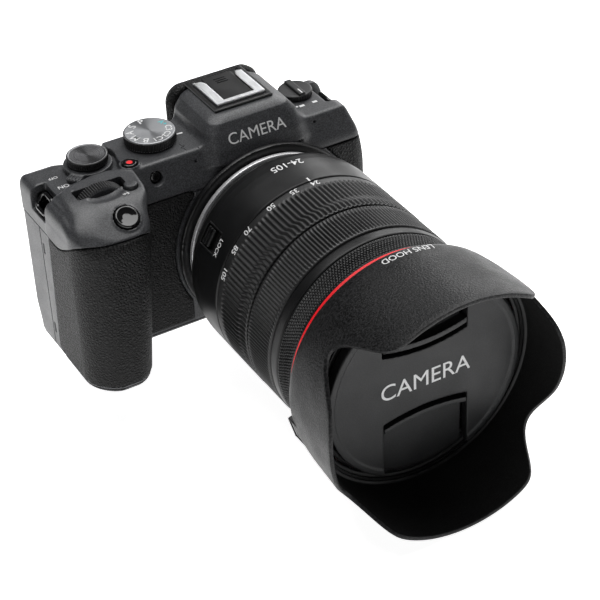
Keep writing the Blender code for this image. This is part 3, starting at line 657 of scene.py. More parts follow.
def barrel():
    """Fixed barrel, open where the switch beds sit."""
    along = np.arange(10.2, BARREL_END_T + 0.1, 0.4)
    swell = np.interp(along, (10.2, 13.4, 17.5, 21, BARREL_END_T), (40.1, 41.15, 41.65, BARREL_R, BARREL_R))
    flank = zip(swell, along)
    profile = [(28.0, 2.3), (34.6, 2.3), (35.1, 3.1), (36.2, 4.9), (38.2, 7.2), *flank,
               (41.3, 33.2), (38.0, 33.2), (38.0, 56.15),
               (40.6, 56.2), (40.6, 56.8), (38.0, 56.85), (38.0, 73.35), (40.7, 73.4), (41.1, 73.7),
               (41.35, 74.3), (41.35, 77.6), (41.1, 78.2), (40.7, 78.4), (38.0, 78.4), (38.0, 88.6),
               (35.7, 88.6), (35.7, 15.0), (28.0, 15.0)]
    points, faces = spun(rounded(profile, 0.2, 2), LENS, 360)
    middles = points[faces].mean(1)
    inner_wall = np.hypot(middles[:, 0], middles[:, 2] - LENS_Z) < 39
    window = np.zeros(len(faces), bool)
    for angle, t, half in SWITCHES.values():
        out, side = lens_frame(angle)
        d = middles - (0, FLANGE_Y - t, LENS_Z)
        window |= (np.abs(d @ side) < 4.4) & (np.abs(d[:, 1]) < half - 0.3) & (d @ out > 0)
    piece("lens_barrel_fine", points, faces[inner_wall | ~window], "lens", "camera_body", ["lens_barrel"])


def lens_rings():
    lens_spun("lens_mount_chrome", [(27.2, 0.15), (35.4, 0.15), (35.8, 0.4), (35.8, 1.85), (35.5, 2.1),
                                    (27.2, 2.1)], "chrome", "camera_body", ["lens_mount_ring"], 256)
    barrel()
    grip_ring("zoom_ring_ribbed", "zoom_ring", ZOOM_T, 41.75, "rubber", ZOOM_RIBS * 9, 0.62, zoom_ripple)
    grip_ring("focus_ring_ribbed", "focus_ring", FOCUS_T, 41.6, "rubber", FOCUS_RIBS * 8, 1.2, focus_ripple)
    grip_ring("control_ring_knurled", "control_ring", CONTROL_T, 41.45, "lens", KNURL_COUNT * 6, 0.2,
              control_ripple)
    lens_spun("inner_barrel_tube", [(33.2, 20), (35.2, 20), (35.2, 98.2), (33.2, 98.2)], "black",
              "inner_barrel", ["inner_barrel"], 160)
    bezel = [(35.5, 88.9), (39.9, 88.9), (39.9, 90.7), (41.6, 90.8), (41.6, 106.9), (41.2, BEZEL_END_T),
             (38.9, BEZEL_END_T)]
    for k in range(7):
        t = BEZEL_END_T - 0.6 - k * 0.8
        bezel += [(38.9, t), (38.5, t - 0.2), (38.5, t - 0.4)]
    bezel += [(38.9, 101.5), (31.0, 101.5), (31.0, 98.5), (35.5, 98.5)]
    lens_spun("front_bezel_threaded", bezel, "black", "inner_barrel", ["front_bezel"], 160, None, 0.12)
    lens_spun("red_ring_band", [(40.2, 88.75), (41.9, 88.75), (42.1, 88.95), (42.1, 89.4), (42.1, 90.7),
                                (41.9, 90.9), (40.2, 90.9)], "red", "inner_barrel", ["red_ring"], 256,
              spots=[("lens", lambda c, n: FLANGE_Y - c[:, 1] < 89.45)])
    dome = [(32.8 - 0.02, 90.0), (32.8, 90.0), (32.8, 97.9), (32.5, 98.2), (30.5, 98.2)]
    dome += [(30.5 * math.cos(a), 98.2 + 3.0 * math.sin(a)) for a in np.linspace(0.12, 1.45, 12)]
    points, faces = capped(dome, LENS, 96)
    piece("front_glass", points, faces, "glass", "inner_barrel", ["front_element"])
    back = [(27.0 * math.sin(a), 1.7 + 1.6 * (1 - math.cos(a))) for a in np.linspace(0.05, 1.55, 12)]
    points, faces = capped(back + [(27.6, 3.6), (27.6, 12.0)], LENS, 96)
    piece("rear_glass", points, faces, "glass", "camera_body", ["rear_element"])


def lens_scale():
    above = BARREL_R + 0.05
    digits = [("24", 88.2), ("35", 100.5), ("50", 114.8), ("70", 131.5), ("85", 143.3), ("105", 157.2)]
    marks = [(*letters(text, 2.45), on_lens(angle, 35.45, above)) for text, angle in digits]
    print_marks("zoom_scale", marks, "white", "zoom_ring")
    print_marks("zoom_index", [(*oblong(0.7, 2.3), on_lens(89.4, 32.0, above))], "white", "camera_body")
    print_marks("focal_range", [(*letters("24-105", 3.3), on_lens(91.4, 18.6, 41.73))], "white",
                "camera_body")
    print_marks("lock_label", [(*letters("LOCK", 1.9), on_lens(149.0, 26.2, above))], "white", "camera_body")
    labels = (("AF", 12.4, 41.0), ("MF", 18.6, 41.6), ("ON", 22.0, 41.72), ("OFF", 27.0, 41.72))
    marks = [(*letters(text, 1.6), on_lens(33.0, t, radius)) for text, t, radius in labels]
    print_marks("focus_labels", marks, "white", "camera_body")


def lens_frame(degrees):
    """Directions outwards and round the barrel at an angle."""
    a = math.radians(degrees)
    return np.array([math.cos(a), 0, math.sin(a)]), np.array([-math.sin(a), 0, math.cos(a)])


def on_barrel(degrees, t):
    """A place on the barrel: its centre on the lens axis, the way out, and a function that turns points
    into (round, forward, out)."""
    out, side = lens_frame(degrees)
    centre = np.array([0, FLANGE_Y - t, LENS_Z])

    def local(p):
        d = p - centre
        return np.stack([d @ side, d @ np.array([0, -1.0, 0]), d @ out], 1)
    return centre, out, local


def switches():
    """Sliders, each a low block with ridges across it, in a bed whose pocket is painted near-black as painted
    shade.
    """
    for name, (angle, t, half) in SWITCHES.items():
        centre, out, local = on_barrel(angle, t)

        def slider(p, local=local):
            q = local(p)
            shape = box_field(q, (-3.6, -3.7, 39.9), (3.6, 0.7, 41.55), 0.25)
            for along in (-3.2, -1.6, 0.2):
                ridge = box_field(q, (-3.3, along - 0.3, 40.5), (3.3, along + 0.3, 42.08), 0.22)
                shape = smin(shape, ridge, 0.25)
            return shape

        def bed(p, local=local, half=half):
            q = local(p)
            around = np.sqrt(q[:, 0] ** 2 + q[:, 2] ** 2)
            plate = box_field(q, (-4.9, -half, 38.5), (4.9, half, 43), 0.6)
            plate = smax(plate, np.abs(around - 40.6) - 1.32, 0.25)
            return carve(plate, box_field(q, (-4.2, 0.45 - half, 39.72), (4.2, half - 0.45, 50), 0.3), 0.2)
        middle = centre + out * 41
        solid(name + "_fine", slider, middle - 5.5, middle + 5.5, 0.22, "lens", name, [name])
        middle = centre + out * 40.5
        # the bed's pocket faces, inside radius 41.5, take the near-black look: painted shade in the recess
        solid(name + "_bed", bed, middle - 7.5, middle + 7.5, 0.26, "lens", "camera_body",
              spots=[("painted_recess_shade", lambda c, n: np.hypot(c[:, 0], c[:, 2] - LENS_Z) < 41.5)])


# ---- hood ----
HOOD_LONG_T, HOOD_SHORT_T = 138.0, 128.0
NOTCH_ABOVE_T, NOTCH_BELOW_T = 111.5, 120.0
HOOD_LOCK = (99.5, -164)


def petal_edge(angle):
    """Front edge of the hood: long petals above and below, rounded short ones at the sides."""
    fold = np.abs((np.degrees(angle) + 90) % 180 - 90)
    at = (0, 8, 16, 20, 24, 28, 31, 33.5, 36, 38.5, 41, 44, 47, 50, 52.5, 55, 58, 62, 70, 90)
    share = (1, 0.97, 0.82, 0.66, 0.45, 0.24, 0.10, 0.02, 0.0)
    share += (0.015, 0.08, 0.22, 0.44, 0.68, 0.86, 0.94, 0.975, 0.99, 1.0, 1.0)
    rise = np.interp(fold, at, share)
    notch = NOTCH_BELOW_T + (NOTCH_ABOVE_T - NOTCH_BELOW_T) * (np.sin(angle) > 0)
    return notch + (np.where(fold < 36, HOOD_SHORT_T, HOOD_LONG_T) - notch) * rise


def hood_outside(t):
    return np.interp(t, (91.3, 91.6, 92.6, 94.6, 97, 101, 106.5, 125, 138),
                     (42.6, 43.0, 44.2, 45.6, 46.5, 47.1, 47.72, 48.88, 49.85))


def hood():
    segments = 720
    angle = np.arange(segments) * TAU / segments
    edge = petal_edge(angle)
    edge = (np.roll(edge, 3) + np.roll(edge, -3) + np.roll(edge, 6) + np.roll(edge, -6) + 2 * edge) / 6
    shares = np.linspace(0, 1, 26)
    rows = [(np.full(segments, 42.25), np.full(segments, 91.4))]
    for s in shares:
        t = 91.5 + (edge - 0.5 - 91.5) * s
        rows.append((hood_outside(t), t))
    for inward, back in ((0.12, 0.14), (0.45, 0), (1.25, 0), (1.6, 0.14)):
        rows.append((hood_outside(edge) - inward, edge - back))
    for s in shares[::-1]:
        t = 108.4 + (edge - 0.5 - 108.4) * s
        rows.append((hood_outside(t) - 1.75 - 0.35 * (1 - s), t))
    for r, t in ((45.3, 108.0), (44.6, 107.9), (44.5, 107.4), (43.6, 107.3), (43.5, 106.8), (42.6, 106.7),
                 (42.25, 106.4), (42.25, 99.0)):
        rows.append((np.full(segments, r), np.full(segments, t)))
    r = np.stack([row[0] for row in rows], 1)
    t = np.stack([row[1] for row in rows], 1)
    a = np.broadcast_to(angle[:, None], r.shape)
    points = np.stack([r * np.cos(a), FLANGE_Y - t, LENS_Z + r * np.sin(a)], 2).reshape(-1, 3)
    faces = grid_faces(segments, r.shape[1], True, True)

    def inside_wall(c, n):
        radius = np.hypot(c[:, 0], c[:, 2] - LENS_Z)
        return radius < hood_outside(FLANGE_Y - c[:, 1]) - 1.45

    def inner_steps(c, n):
        t = FLANGE_Y - c[:, 1]
        return inside_wall(c, n) & (t < 108.3)
    piece("hood_petals", points, faces, "hood", "hood", ["hood"], sharp=40,
          spots=[("flock", inside_wall), ("lens", inner_steps)])


def hood_lock():
    centre, out, local = on_barrel(HOOD_LOCK[1], HOOD_LOCK[0])

    def button(p):
        q = local(p)
        shape = box_field(q, (-4.2, -4.9, 44.4), (4.2, 4.9, 46.55), 0.5)
        for along in (-2.4, -0.8, 0.8, 2.4):
            groove = box_field(q, (-3.2, along - 0.25, 46.2), (3.2, along + 0.25, 48), 0.1)
            shape = carve(shape, groove, 0.2)
        return shape

    def bed(p):
        q = local(p)
        ring = box_field(q, (-5.0, -5.7, 44.0), (5.0, 5.7, 46.95), 0.6)
        return carve(ring, box_field(q, (-4.5, -5.2, 40), (4.5, 5.2, 50), 0.5), 0.25)
    middle = centre + out * 45.5
    solid("hood_lock_fine", button, middle - 6.5, middle + 6.5, 0.25, "black", "hood_lock_button",
          ["hood_lock_button"])
    solid("hood_lock_bed", bed, middle - 8, middle + 8, 0.3, "black", "hood")


# ---- cap ----
CAP_R, CAP_T = 40.1, (107.75, 111.9)
SKIRT_R, SKIRT_T = 37.6, (103.6, 109.0)
DISH_R, DISH_T = 37.4, 111.55
TAB_X, TAB_BACK_T, TAB_TRAVEL_ROOM = 17.6, 107.5, 2.0


def lip_z(x, upper):
    """Height of a pinch tab's lip above the lens axis; both lips bow towards the middle."""
    bow = 2.6 * (x / TAB_X) ** 2
    return (16.3 + bow) if upper else (-12.4 - bow * 0.9)


def cap_local(p):
    return p[:, 0], p[:, 2] - LENS_Z, FLANGE_Y - p[:, 1]


def cap_field(p):
    x, z, t = cap_local(p)
    r = np.sqrt(x * x + z * z)
    disc = smax(r - CAP_R, np.maximum(t - CAP_T[1], CAP_T[0] - t), 0.9)
    skirt = smax(np.abs(r - SKIRT_R) - 0.75, np.maximum(t - SKIRT_T[1], SKIRT_T[0] - t), 0.3)
    shape = carve(smin(disc, skirt, 0.3), smax(r - DISH_R, DISH_T - t, 0.25), 0.35)
    for beyond in ((lip_z(x, True) - TAB_TRAVEL_ROOM) - z, z - (lip_z(x, False) + TAB_TRAVEL_ROOM)):
        opening = smax(smax(np.abs(x) - TAB_X, beyond, 0.4), TAB_BACK_T - t, 0.4)
        shape = carve(shape, opening, 0.5)
    return shape


def tab_field(upper):
    """Pinch tab: a raised bar along the lip and a lower pad beyond it for the fingertip."""
    way, pad_drop = (1, 2.6) if upper else (-1, 1.7)

    def field(p):
        x, z, t = cap_local(p)
        beyond = (z - lip_z(x, upper)) * way
        r = np.sqrt(x * x + z * z)
        bar = smax(np.abs(beyond - 1.15) - 1.1, np.abs(x) - TAB_X + 0.35, 0.4)
        bar = smax(bar, np.maximum(t - 111.75, 108.0 - t), 0.4)
        pad_front = 111.1 - 0.03 * beyond - pad_drop * smooth(beyond, 1.9, 3.2)
        pad = smax(smax(-beyond + 0.3, r - 39.2, 0.5), np.maximum(t - pad_front, 107.9 - t), 0.4)
        return smin(bar, smax(pad, np.abs(x) - TAB_X + 1.2, 0.4), 0.5)
    return field


def cap():
    low, high = (-41, FLANGE_Y - 112.6, LENS_Z - 41), (41, FLANGE_Y - 103, LENS_Z + 41)
    solid("cap_disc", cap_field, low, high, 0.5, "cap", "lens_cap", ["lens_cap"])
    for node, upper, z0, z1 in (("cap_tab_upper", True, 15, 40), ("cap_tab_lower", False, -40, -11)):
        low, high = (-18.5, FLANGE_Y - 112.4, LENS_Z + z0), (18.5, FLANGE_Y - 107.4, LENS_Z + z1)
        solid(node + "_fine", tab_field(upper), low, high, 0.38, "cap", node, [node])


lens_rings()
lens_scale()
switches()
hood()
hood_lock()
cap()


# ---- camera body: one envelope, cut into shells ----
# plan of the raised platform on the grip, and the hump's half width and front by height
PLATFORM = [(-100, -60), (-48, -60), (-52.4, -24.1), (-51.0, -13.5), (-51.0, -8.0), (-62.4, -3.7),
            (-70, -5.5), (-80.3, -7), (-100, -9.5)]
HUMP_Z = (66.6, 68.8, 74.0, 79.0, 82.4, 84.3)
HUMP_HALF = (21.6, 21.4, 20.9, 20.0, 17.4, 14.0)
HUMP_FRONT = (-15.4, -17.0, -15.2, -12.4, -10.4, -7.6)
HUMP_REAR = 20.0
WELL = ((-30.5, 8.7, 5.5), (46.6, 30.0, 53.5))
DOOR_X, DOOR_Y = (-84.0, -67.0), (-33.5, -6.5)
KEYS = (-55.0, 26.0, 10.0)
AF_ON_AT, PLAY_AT, MENU_AT, DIOPTER_AT = (-46.5, 48.0), (-41.0, 9.5), (33, 63.5), (25, 64)
SHELL_WALL = 3.6
UP = (0, 0, 1)
BACK = (0, 1, 0)


def plan_field(x, y, low, high, radii):
    """Rounded rectangle seen from above; radii of the corners -x-y, +x-y, -x+y and +x+y."""
    cx, cy = (low[0] + high[0]) / 2, (low[1] + high[1]) / 2
    r = np.where(y < cy, np.where(x < cx, radii[0], radii[1]), np.where(x < cx, radii[2], radii[3]))
    qx = np.abs(x - cx) - (high[0] - low[0]) / 2 + r
    qy = np.abs(y - cy) - (high[1] - low[1]) / 2 + r
    return np.minimum(np.maximum(qx, qy), 0) + np.hypot(np.maximum(qx, 0), np.maximum(qy, 0)) - r


def nose_plane(y, z):
    """Distance above the sloping top of the grip."""
    return (z - DECK_Z) * math.cos(NOSE_SLOPE) - (y - NOSE_TOP_Y) * math.sin(NOSE_SLOPE)


def main_block(x, y, z):
    """The body without grip and hump: its front leans back at the top, its far side slopes in."""
    plan = plan_field(x, y, (-64, FRONT_Y), (RIGHT_X, REAR_Y), (3, 8, 3, 4))
    top = (DECK_Z - (DECK_Z - LEFT_DECK_Z) * smooth(x, 8, 20)
           - (DECK_Z - REAR_DECK_Z) * smooth(-x, 52.3, 53.6))
    shape = smax(plan, z - top, 1.0)
    lean = (FRONT_Y - y) * math.cos(LEAN) + (z - LEAN_Z) * math.sin(LEAN)
    side = (x - RIGHT_X) * math.cos(SIDE_SLOPE) + (z - SIDE_SLOPE_Z) * math.sin(SIDE_SLOPE)
    return smax(smax(shape, lean, 1.2), side, 3.0)


def grip_block(x, y, z, hollowed):
    taper = GRIP_TAPER * np.clip(1 - z / SPLIT_Z, 0, 1)
    moved = x + smooth(x, -84, -66) * (taper - 3 * np.clip((y - NOSE_Y) / 24, 0, 2.3))
    y = np.where(y > 0, y / (1 + 0.22 * smooth(-x, 66, 74) * smooth(z, 4, 16)), y)
    plan = plan_field(moved, y, (GRIP_X, NOSE_Y), (-57.5, REAR_Y), (14, 9, 3, 3))
    if hollowed:
        plan = plan + 1.6 * np.exp(-((z - 59) / 9) ** 2) * smooth(-y, 20, 32)
    low = smax(plan, z - REAR_DECK_Z, 5.0)
    flare = 3.2 * smooth(y, -34, -22) * smooth(z, 63, 71)
    wide = plan_field(moved - flare, y, (GRIP_X, NOSE_Y), (-57.5, REAR_Y), (14, 9, 3, 3))
    stage = smax(wide, polygon_field(x, y, PLATFORM), 0.8)
    nose = smax(stage, z - DECK_Z, 1.0 + 4.5 * smooth(-x, 74, 83))
    return smax(smin(low, nose, 0.8), nose_plane(y, z), 2.5 + 3.5 * smooth(-x, 70, 82))


def hump_block(x, y, z):
    """The finder hump; its corners have a 5 mm radius seen from above."""
    half, front = np.interp(z, HUMP_Z, HUMP_HALF), np.interp(z, HUMP_Z, HUMP_FRONT)
    qx = np.abs(x) - half + 5
    qy = np.abs(y - (front + HUMP_REAR) / 2) - (HUMP_REAR - front) / 2 + 5
    plan = np.minimum(np.maximum(qx, qy), 0) + np.hypot(np.maximum(qx, 0), np.maximum(qy, 0)) - 5
    return smax(smax(plan, z - HUMP_Z[-1], 1.6), 66.2 - z, 1.5)


def envelope(p, hollowed=True):
    """Outer surface of the whole body; hollowed adds the finger groove under the grip's nose."""
    x, y, z = p[:, 0], p[:, 1], p[:, 2]
    blend = 0.05 + 5.0 * smooth(-y, 6, 14) * (1 - 0.85 * smooth(z, 69, 75))
    shape = smin(main_block(x, y, z), grip_block(x, y, z, hollowed), blend)
    shape = smin(shape, ball_field(p, (-73, 13.0, 52), (7, 4.2, 15)), 3.0)
    shape = smin(shape, hump_block(x, y, z), 3.5)
    return smax(shape, -z, 4.0)


def seam_z(x, y):
    """Height of the top cover's lower edge."""
    side = 57.7 + 8.8 * smooth(-y, 16, 38)
    finger = 62.2 + 4.2 * smooth(-y, 33, 40)
    seam = side + (finger - side) * smooth(x, -84, -62)
    seam = seam + (61.2 - seam) * smooth(x, -33, -29)
    return seam + (57.7 - seam) * smooth(y, -8, -3)


def skin_zone(x, y, z):
    """Where the grip's rubber skin lies."""
    r = np.hypot(x, z - LENS_Z)
    rear = y + 4.6 + 4.2 * z / 57
    ends = smax(z - seam_z(x, y) + 0.3, 3.6 - z, 1.0)
    return smax(smax(ends, rear, 2.0), np.maximum(39.9 - r, x + 29.8 + 4.5 * (z < LENS_Z)), 1.0)


def front_skin_zone(x, y, z):
    r = np.hypot(x, z - LENS_Z)
    return smax(smax(np.maximum(z - 60.8, 4.0 - z), y + 9.3, 1.5), np.maximum(39.9 - r, 29.0 - x), 1.0)


def flap_pocket(p):
    return box_field(p, (RIGHT_X - 1.7, -8.5, 11.7), (RIGHT_X + 5, 6.5, 52.3), 0.6)


def top_shell(p):
    x, y, z = p[:, 0], p[:, 1], p[:, 2]
    e = envelope(p, False)
    room = np.maximum(np.maximum(e + 2.6, z - 69.0), nose_plane(y, z) + 5.5)
    peak = np.maximum(np.maximum(e + 3.2, z - 80.5), np.abs(x) - 16)
    shape = np.maximum(e + 0.1, -np.minimum(room, peak))
    shape = smax(shape, seam_z(x, y) + 0.15 - z, 0.5)
    shape = smin(shape, rod_field(p, SHUTTER, NOSE_AXIS, 5.75, -2, 0.35, 0.5), 0.35)
    shape = smin(shape, rod_field(p, RECORD, UP, 4.1, -2, 0.45, 0.5), 0.35)
    shape = carve(shape, rod_field(p, (*QUICK_DIAL[:2], REAR_DECK_Z), UP, 10.9, 0, 20, 0.4), 0.5)
    shape = carve(shape, ball_field(p, (-67.2, -20.4, 77.2), (8.4, 4.6, 3.6)), 0.5)
    slot_y = MAIN_DIAL[1]
    cuts = [box_field(p, (-77.2, slot_y - 3.4, 60), (-57.2, slot_y + 3.4, 90), 0.8),
            box_field(p, (-79.0, slot_y - 3.4, 50), (-55.4, slot_y + 3.4, 72.6), 0.3),
            rod_field(p, SHUTTER, NOSE_AXIS, 5.0, -3.6, 10), rod_field(p, FUNCTION, UP, 2.9, -2.5, 10),
            rod_field(p, RECORD, UP, 3.3, -2.5, 10), rod_field(p, AF_LAMP, (0, -1, 0), 2.6, -3.8, 10),
            rod_field(p, (*MODE_DIAL[:2], DECK_Z), UP, 2.9, -3, 10),
            rod_field(p, (*QUICK_DIAL[:2], REAR_DECK_Z), UP, 2.9, -3, 10),
            rod_field(p, (*PHOTO_DIAL[:2], LEFT_DECK_Z), UP, 2.9, -3, 10),
            rod_field(p, (MENU_AT[0], REAR_Y, MENU_AT[1]), BACK, 3.0, -1.8, 10),
            rod_field(p, (DIOPTER_AT[0], REAR_Y, DIOPTER_AT[1]), BACK, 2.0, -2, 10),
            box_field(p, (35.8, -5, 64.2), (60, 11, 90), 1.0),
            box_field(p, (-100, -8.3, 63.2), (-80.8, 4.6, 90), 1.0),
            box_field(p, (-12, 14, 66), (12, 40, 80), 1.0),
            box_field(p, (-12, -4, 84.0), (12, 30, 90), 0.2),
            rod_field(p, LENS[0], LENS[1], 27.6, -9, 10), flap_pocket(p)]
    for x_mic in (-26, 26):
        cuts.append(rod_field(p, (x_mic, -12.6, 71.5), (0, -1, 0.45), 0.6, -1.2, 4, 0.1))
    for cut in cuts:
        shape = carve(shape, cut, 0.35)
    return shape


def front_shell(p):
    x, y, z = p[:, 0], p[:, 1], p[:, 2]
    e = envelope(p)
    shape = np.maximum(e + 0.35, -(e + SHELL_WALL))
    shape = smax(shape, np.maximum(y + 0.06, np.maximum(2.3 - z, z - seam_z(x, y) + 0.15)), 0.3)
    for zone in (skin_zone(x, y, z), front_skin_zone(x, y, z)):
        shape = carve(shape, np.maximum(zone - 0.2, -(e + 1.3)), 0.2)
    pin = (PIN_RADIUS * math.cos(PIN_ANGLE), FLANGE_Y, LENS_Z + PIN_RADIUS * math.sin(PIN_ANGLE))
    for cut in (rod_field(p, LENS[0], LENS[1], 27.6, -9, 10), rod_field(p, RELEASE, LENS[1], 4.8, -5, 8),
                rod_field(p, pin, LENS[1], 1.6, -6, 6), flap_pocket(p)):
        shape = carve(shape, cut, 0.3)
    for low in (9.0, 46.0):
        shape = carve(shape, box_field(p, (-90, -2.6, low), (-86.4, -1.3, low + 5.0), 0.3), 0.2)
    return shape


def rear_shell(p):
    x, y, z = p[:, 0], p[:, 1], p[:, 2]
    e = envelope(p)
    shape = np.maximum(e + 0.35, -(e + SHELL_WALL))
    shape = np.minimum(shape, np.maximum(box_field(p, (-32.5, 6.1, 3.0), (46.4, 13.9, 56), 0.5), e + 0.35))
    shape = smax(shape, np.maximum(0.06 - y, np.maximum(2.3 - z, z - seam_z(x, y) + 0.15)), 0.3)
    for cut in (box_field(p, *WELL, 0.8), flap_pocket(p),
                rod_field(p, (KEYS[0], REAR_Y - 1.6, KEYS[1]), BACK, KEYS[2] + 0.3, 0, 10),
                rod_field(p, (AF_ON_AT[0], REAR_Y - 1.8, AF_ON_AT[1]), BACK, 3.6, 0, 10),
                rod_field(p, (PLAY_AT[0], REAR_Y - 1.8, PLAY_AT[1]), BACK, 2.9, 0, 10)):
        shape = carve(shape, cut, 0.3)
    for k in range(5):
        shape = carve(shape, rod_field(p, (-39.0 - 1.9 * k, REAR_Y, 38.0), BACK, 0.5, -1.2, 4, 0.1), 0.1)
    return shape


def base_shell(p):
    raised = p + np.array([0, 0, 0.3])
    shape = smax(envelope(raised) + 0.3, p[:, 2] - BASE_T, 0.3)
    door = box_field(p, (DOOR_X[0] - 0.4, DOOR_Y[0] - 0.4, -5), (-66.3, DOOR_Y[1] + 0.4, 5), 0.8)
    shape = carve(shape, door, 0.25)
    shape = carve(shape, rod_field(p, (0, -8, 0), UP, 5.3, -5, 5), 0.3)
    for x, y in ((-60, 9), (42, 9), (42, -11), (-48, -11)):
        shape = carve(shape, rod_field(p, (x, y, 0), UP, 1.5, -1, 0.8), 0.15)
    return shape


def skin(zone):
    def field(p):
        e = envelope(p)
        where = zone(p[:, 0], p[:, 1], p[:, 2])
        sheet = smax(smax(e + 0.12, where, 0.7), -(e + 1.05), 0.2)
        return carve(sheet, rod_field(p, RELEASE, LENS[1], 5.3, -5, 8), 0.3)
    return field


def shells():
    """Each shell is the part of the envelope that its field keeps; none reaches past the grip's side."""
    jobs = [("top_cover", top_shell, (-88, -42, 57), (49, 21, 85), 0.56, "body"),
            ("front_cover", front_shell, (-88, -42, 2), (49, 1, 67), 0.66, "body"),
            ("rear_cover", rear_shell, (-88, -1, 2), (49, 19, 60), 0.7, "body"),
            ("bottom_plate", base_shell, (-88, -42, 0), (49, 15, 2.5), 0.62, "body"),
            ("grip_skin", skin(skin_zone), (-88, -42, 3), (-29, 0, 67), 0.5, "skin"),
            ("front_skin", skin(front_skin_zone), (28, -18, 3), (49, -8, 62), 0.5, "skin")]
    for node, field, low, high, step, look in jobs:
        points, faces = surface(field, low, high, step)
        points[:, 0] = np.maximum(points[:, 0], GRIP_X)
        piece(node + "_fine", points, faces, look, "camera_body", [node], sharp=38)

    def collar(p):
        ring = rod_field(p, LENS[0], LENS[1], 38.8, -2.9, -0.8, 0.6)
        ring = carve(ring, rod_field(p, LENS[0], LENS[1], 33.6, -9, 9), 0.3)
        return carve(ring, rod_field(p, RELEASE, LENS[1], 4.9, -5, 9), 0.3)
    solid("mount_collar", collar, (-40, -20, -7), (40, -16.5, 73), 0.5, "black", "camera_body")


# ---- dials and buttons ----
def knurled(count, depth, low, high, r_min):
    def ripple(angle, r, h):
        crest = rib_wave(angle, count, 0.6)
        zone = smooth(h, low, low + 0.3) * (1 - smooth(h, high - 0.3, high))
        return np.where(r > r_min, -depth * (1 - crest) * zone, 0)
    return ripple


def turned_button(name, profile, at, axis, look, body, nodes, segments=72, ripple=None, spots=None,
                  radius=0.2):
    points, faces = capped(rounded_path(profile, radius), (at, axis), segments, ripple)
    return piece(name, points, faces, look, body, nodes, sharp=40, spots=spots)


def rounded_path(profile, radius, steps=3):
    """Open line of (radius, height) points with its inner corners rounded."""
    out = [profile[0]]
    for before, here, after in zip(profile, profile[1:], profile[2:]):
        here = np.array(here, float)
        back, ahead = np.array(before) - here, np.array(after) - here
        lb, la = np.linalg.norm(back), np.linalg.norm(ahead)
        reach = min(radius, lb / 2.2, la / 2.2)
        a, b = here + back / lb * reach, here + ahead / la * reach
        out += [tuple((1 - t) ** 2 * a + 2 * t * (1 - t) * here + t * t * b)
                for t in np.linspace(0, 1, steps + 1)]
    return out + [profile[-1]]


def radial_mark(at, text, height, degrees, radius):
    """Letters on a dial's top that stand outwards from its centre."""
    a = math.radians(degrees)
    out = np.array([math.cos(a), math.sin(a), 0])
    centre = np.array(at) + out * radius + np.array([0, 0, 4.42])
    return (*letters(text, height), on_plane(centre, (out[1], -out[0], 0), out))


def top_dials():
    at = (*MODE_DIAL[:2], DECK_Z)
    sides = [(10.2, h) for h in np.linspace(0.6, 3.9, 12)]
    profile = [(2.6, -2.6), (2.6, 0.35), (9.9, 0.35)] + sides + [(9.75, 4.3), (9.5, 4.4), (0.4, 4.4)]
    turned_button("mode_dial_fine", profile, at, UP, "knurl", "mode_dial", ["mode_dial"], 480,
                  knurled(60, 0.34, 0.5, 3.9, 10.0), [("dial_face", lambda c, n: (n[:, 2] > 0.5))])
    modes = ("P", "S", "A", "M", "B", "C1", "C2", "C3")
    marks = [radial_mark(at, text, 3.0 if len(text) == 1 else 2.4, 90 + 36 * k, 7.5)
             for k, text in enumerate(modes)]
    print_marks("mode_letters", marks, "white", "mode_dial")
    print_marks("mode_auto_mark", [radial_mark(at, "A+", 2.2, 18, 7.3)], "cyan", "mode_dial")

    at = (*QUICK_DIAL[:2], REAR_DECK_Z)
    sides = [(8.0, h) for h in np.linspace(3.0, 5.1, 8)]
    profile = [(2.2, -2.6), (2.2, 2.7), (7.7, 2.7)] + sides
    profile += [(7.6, 5.5), (7.2, 5.6), (6.9, 5.35), (0.4, 5.3)]

    def spun_top(c, n, at=at):
        return (np.hypot(c[:, 0] - at[0], c[:, 1] - at[1]) < 7.4) & (n[:, 2] > 0.5)
    turned_button("quick_dial_fine", profile, at, UP, "knurl", "quick_dial", ["quick_dial"], 448,
                  knurled(56, 0.34, 2.9, 5.2, 7.8), [("spun", spun_top)])

    at = (*PHOTO_DIAL[:2], LEFT_DECK_Z)
    sides = [(6.9, h) for h in np.linspace(0.5, 1.9, 5)]
    profile = [(2.6, -2.6), (2.6, 0.3), (6.6, 0.3)] + sides + [(6.5, 2.35), (6.2, 2.4), (0.4, 2.4)]
    turned_button("photo_video_dial_disc", profile, at, UP, "knurl", "photo_video_dial",
                  ["photo_video_dial"], 360, knurled(40, 0.3, 0.4, 2.0, 6.7))

    def bar(p):
        low, high = (at[0] - 1.5, at[1] - 6.4, at[2] + 1.2), (at[0] + 1.5, at[1] + 6.4, at[2] + 3.4)
        return smax(box_field(p, low, high, 0.5), np.hypot(p[:, 0] - at[0], p[:, 1] - at[1]) - 6.5, 0.3)
    low, high = (at[0] - 2, at[1] - 7, at[2] + 1), (at[0] + 2, at[1] + 7, at[2] + 3.6)
    solid("photo_video_bar", bar, low, high, 0.25, "knurl", "photo_video_dial")
    line = on_plane((at[0], at[1] - 4.2, at[2] + 3.42), (-1, 0, 0), (0, -1, 0))
    print_marks("photo_video_line", [(*oblong(0.5, 3.6), line)], "white", "photo_video_dial")

    x, y, z, r = MAIN_DIAL
    sides = [(r, h) for h in np.linspace(-2.3, 2.3, 14)]
    profile = [(0.5, -3.0), (r - 1.0, -3.0)] + sides + [(r - 1.0, 3.0), (0.5, 3.0)]
    turned_button("main_dial_fine", profile, (x, y, z), BACK, "knurl", "main_dial", ["main_dial"], 72 * 8,
                  knurled(72, 0.42, -2.7, 2.7, r - 0.3), [("body", lambda c, n: np.abs(n[:, 1]) > 0.75)])


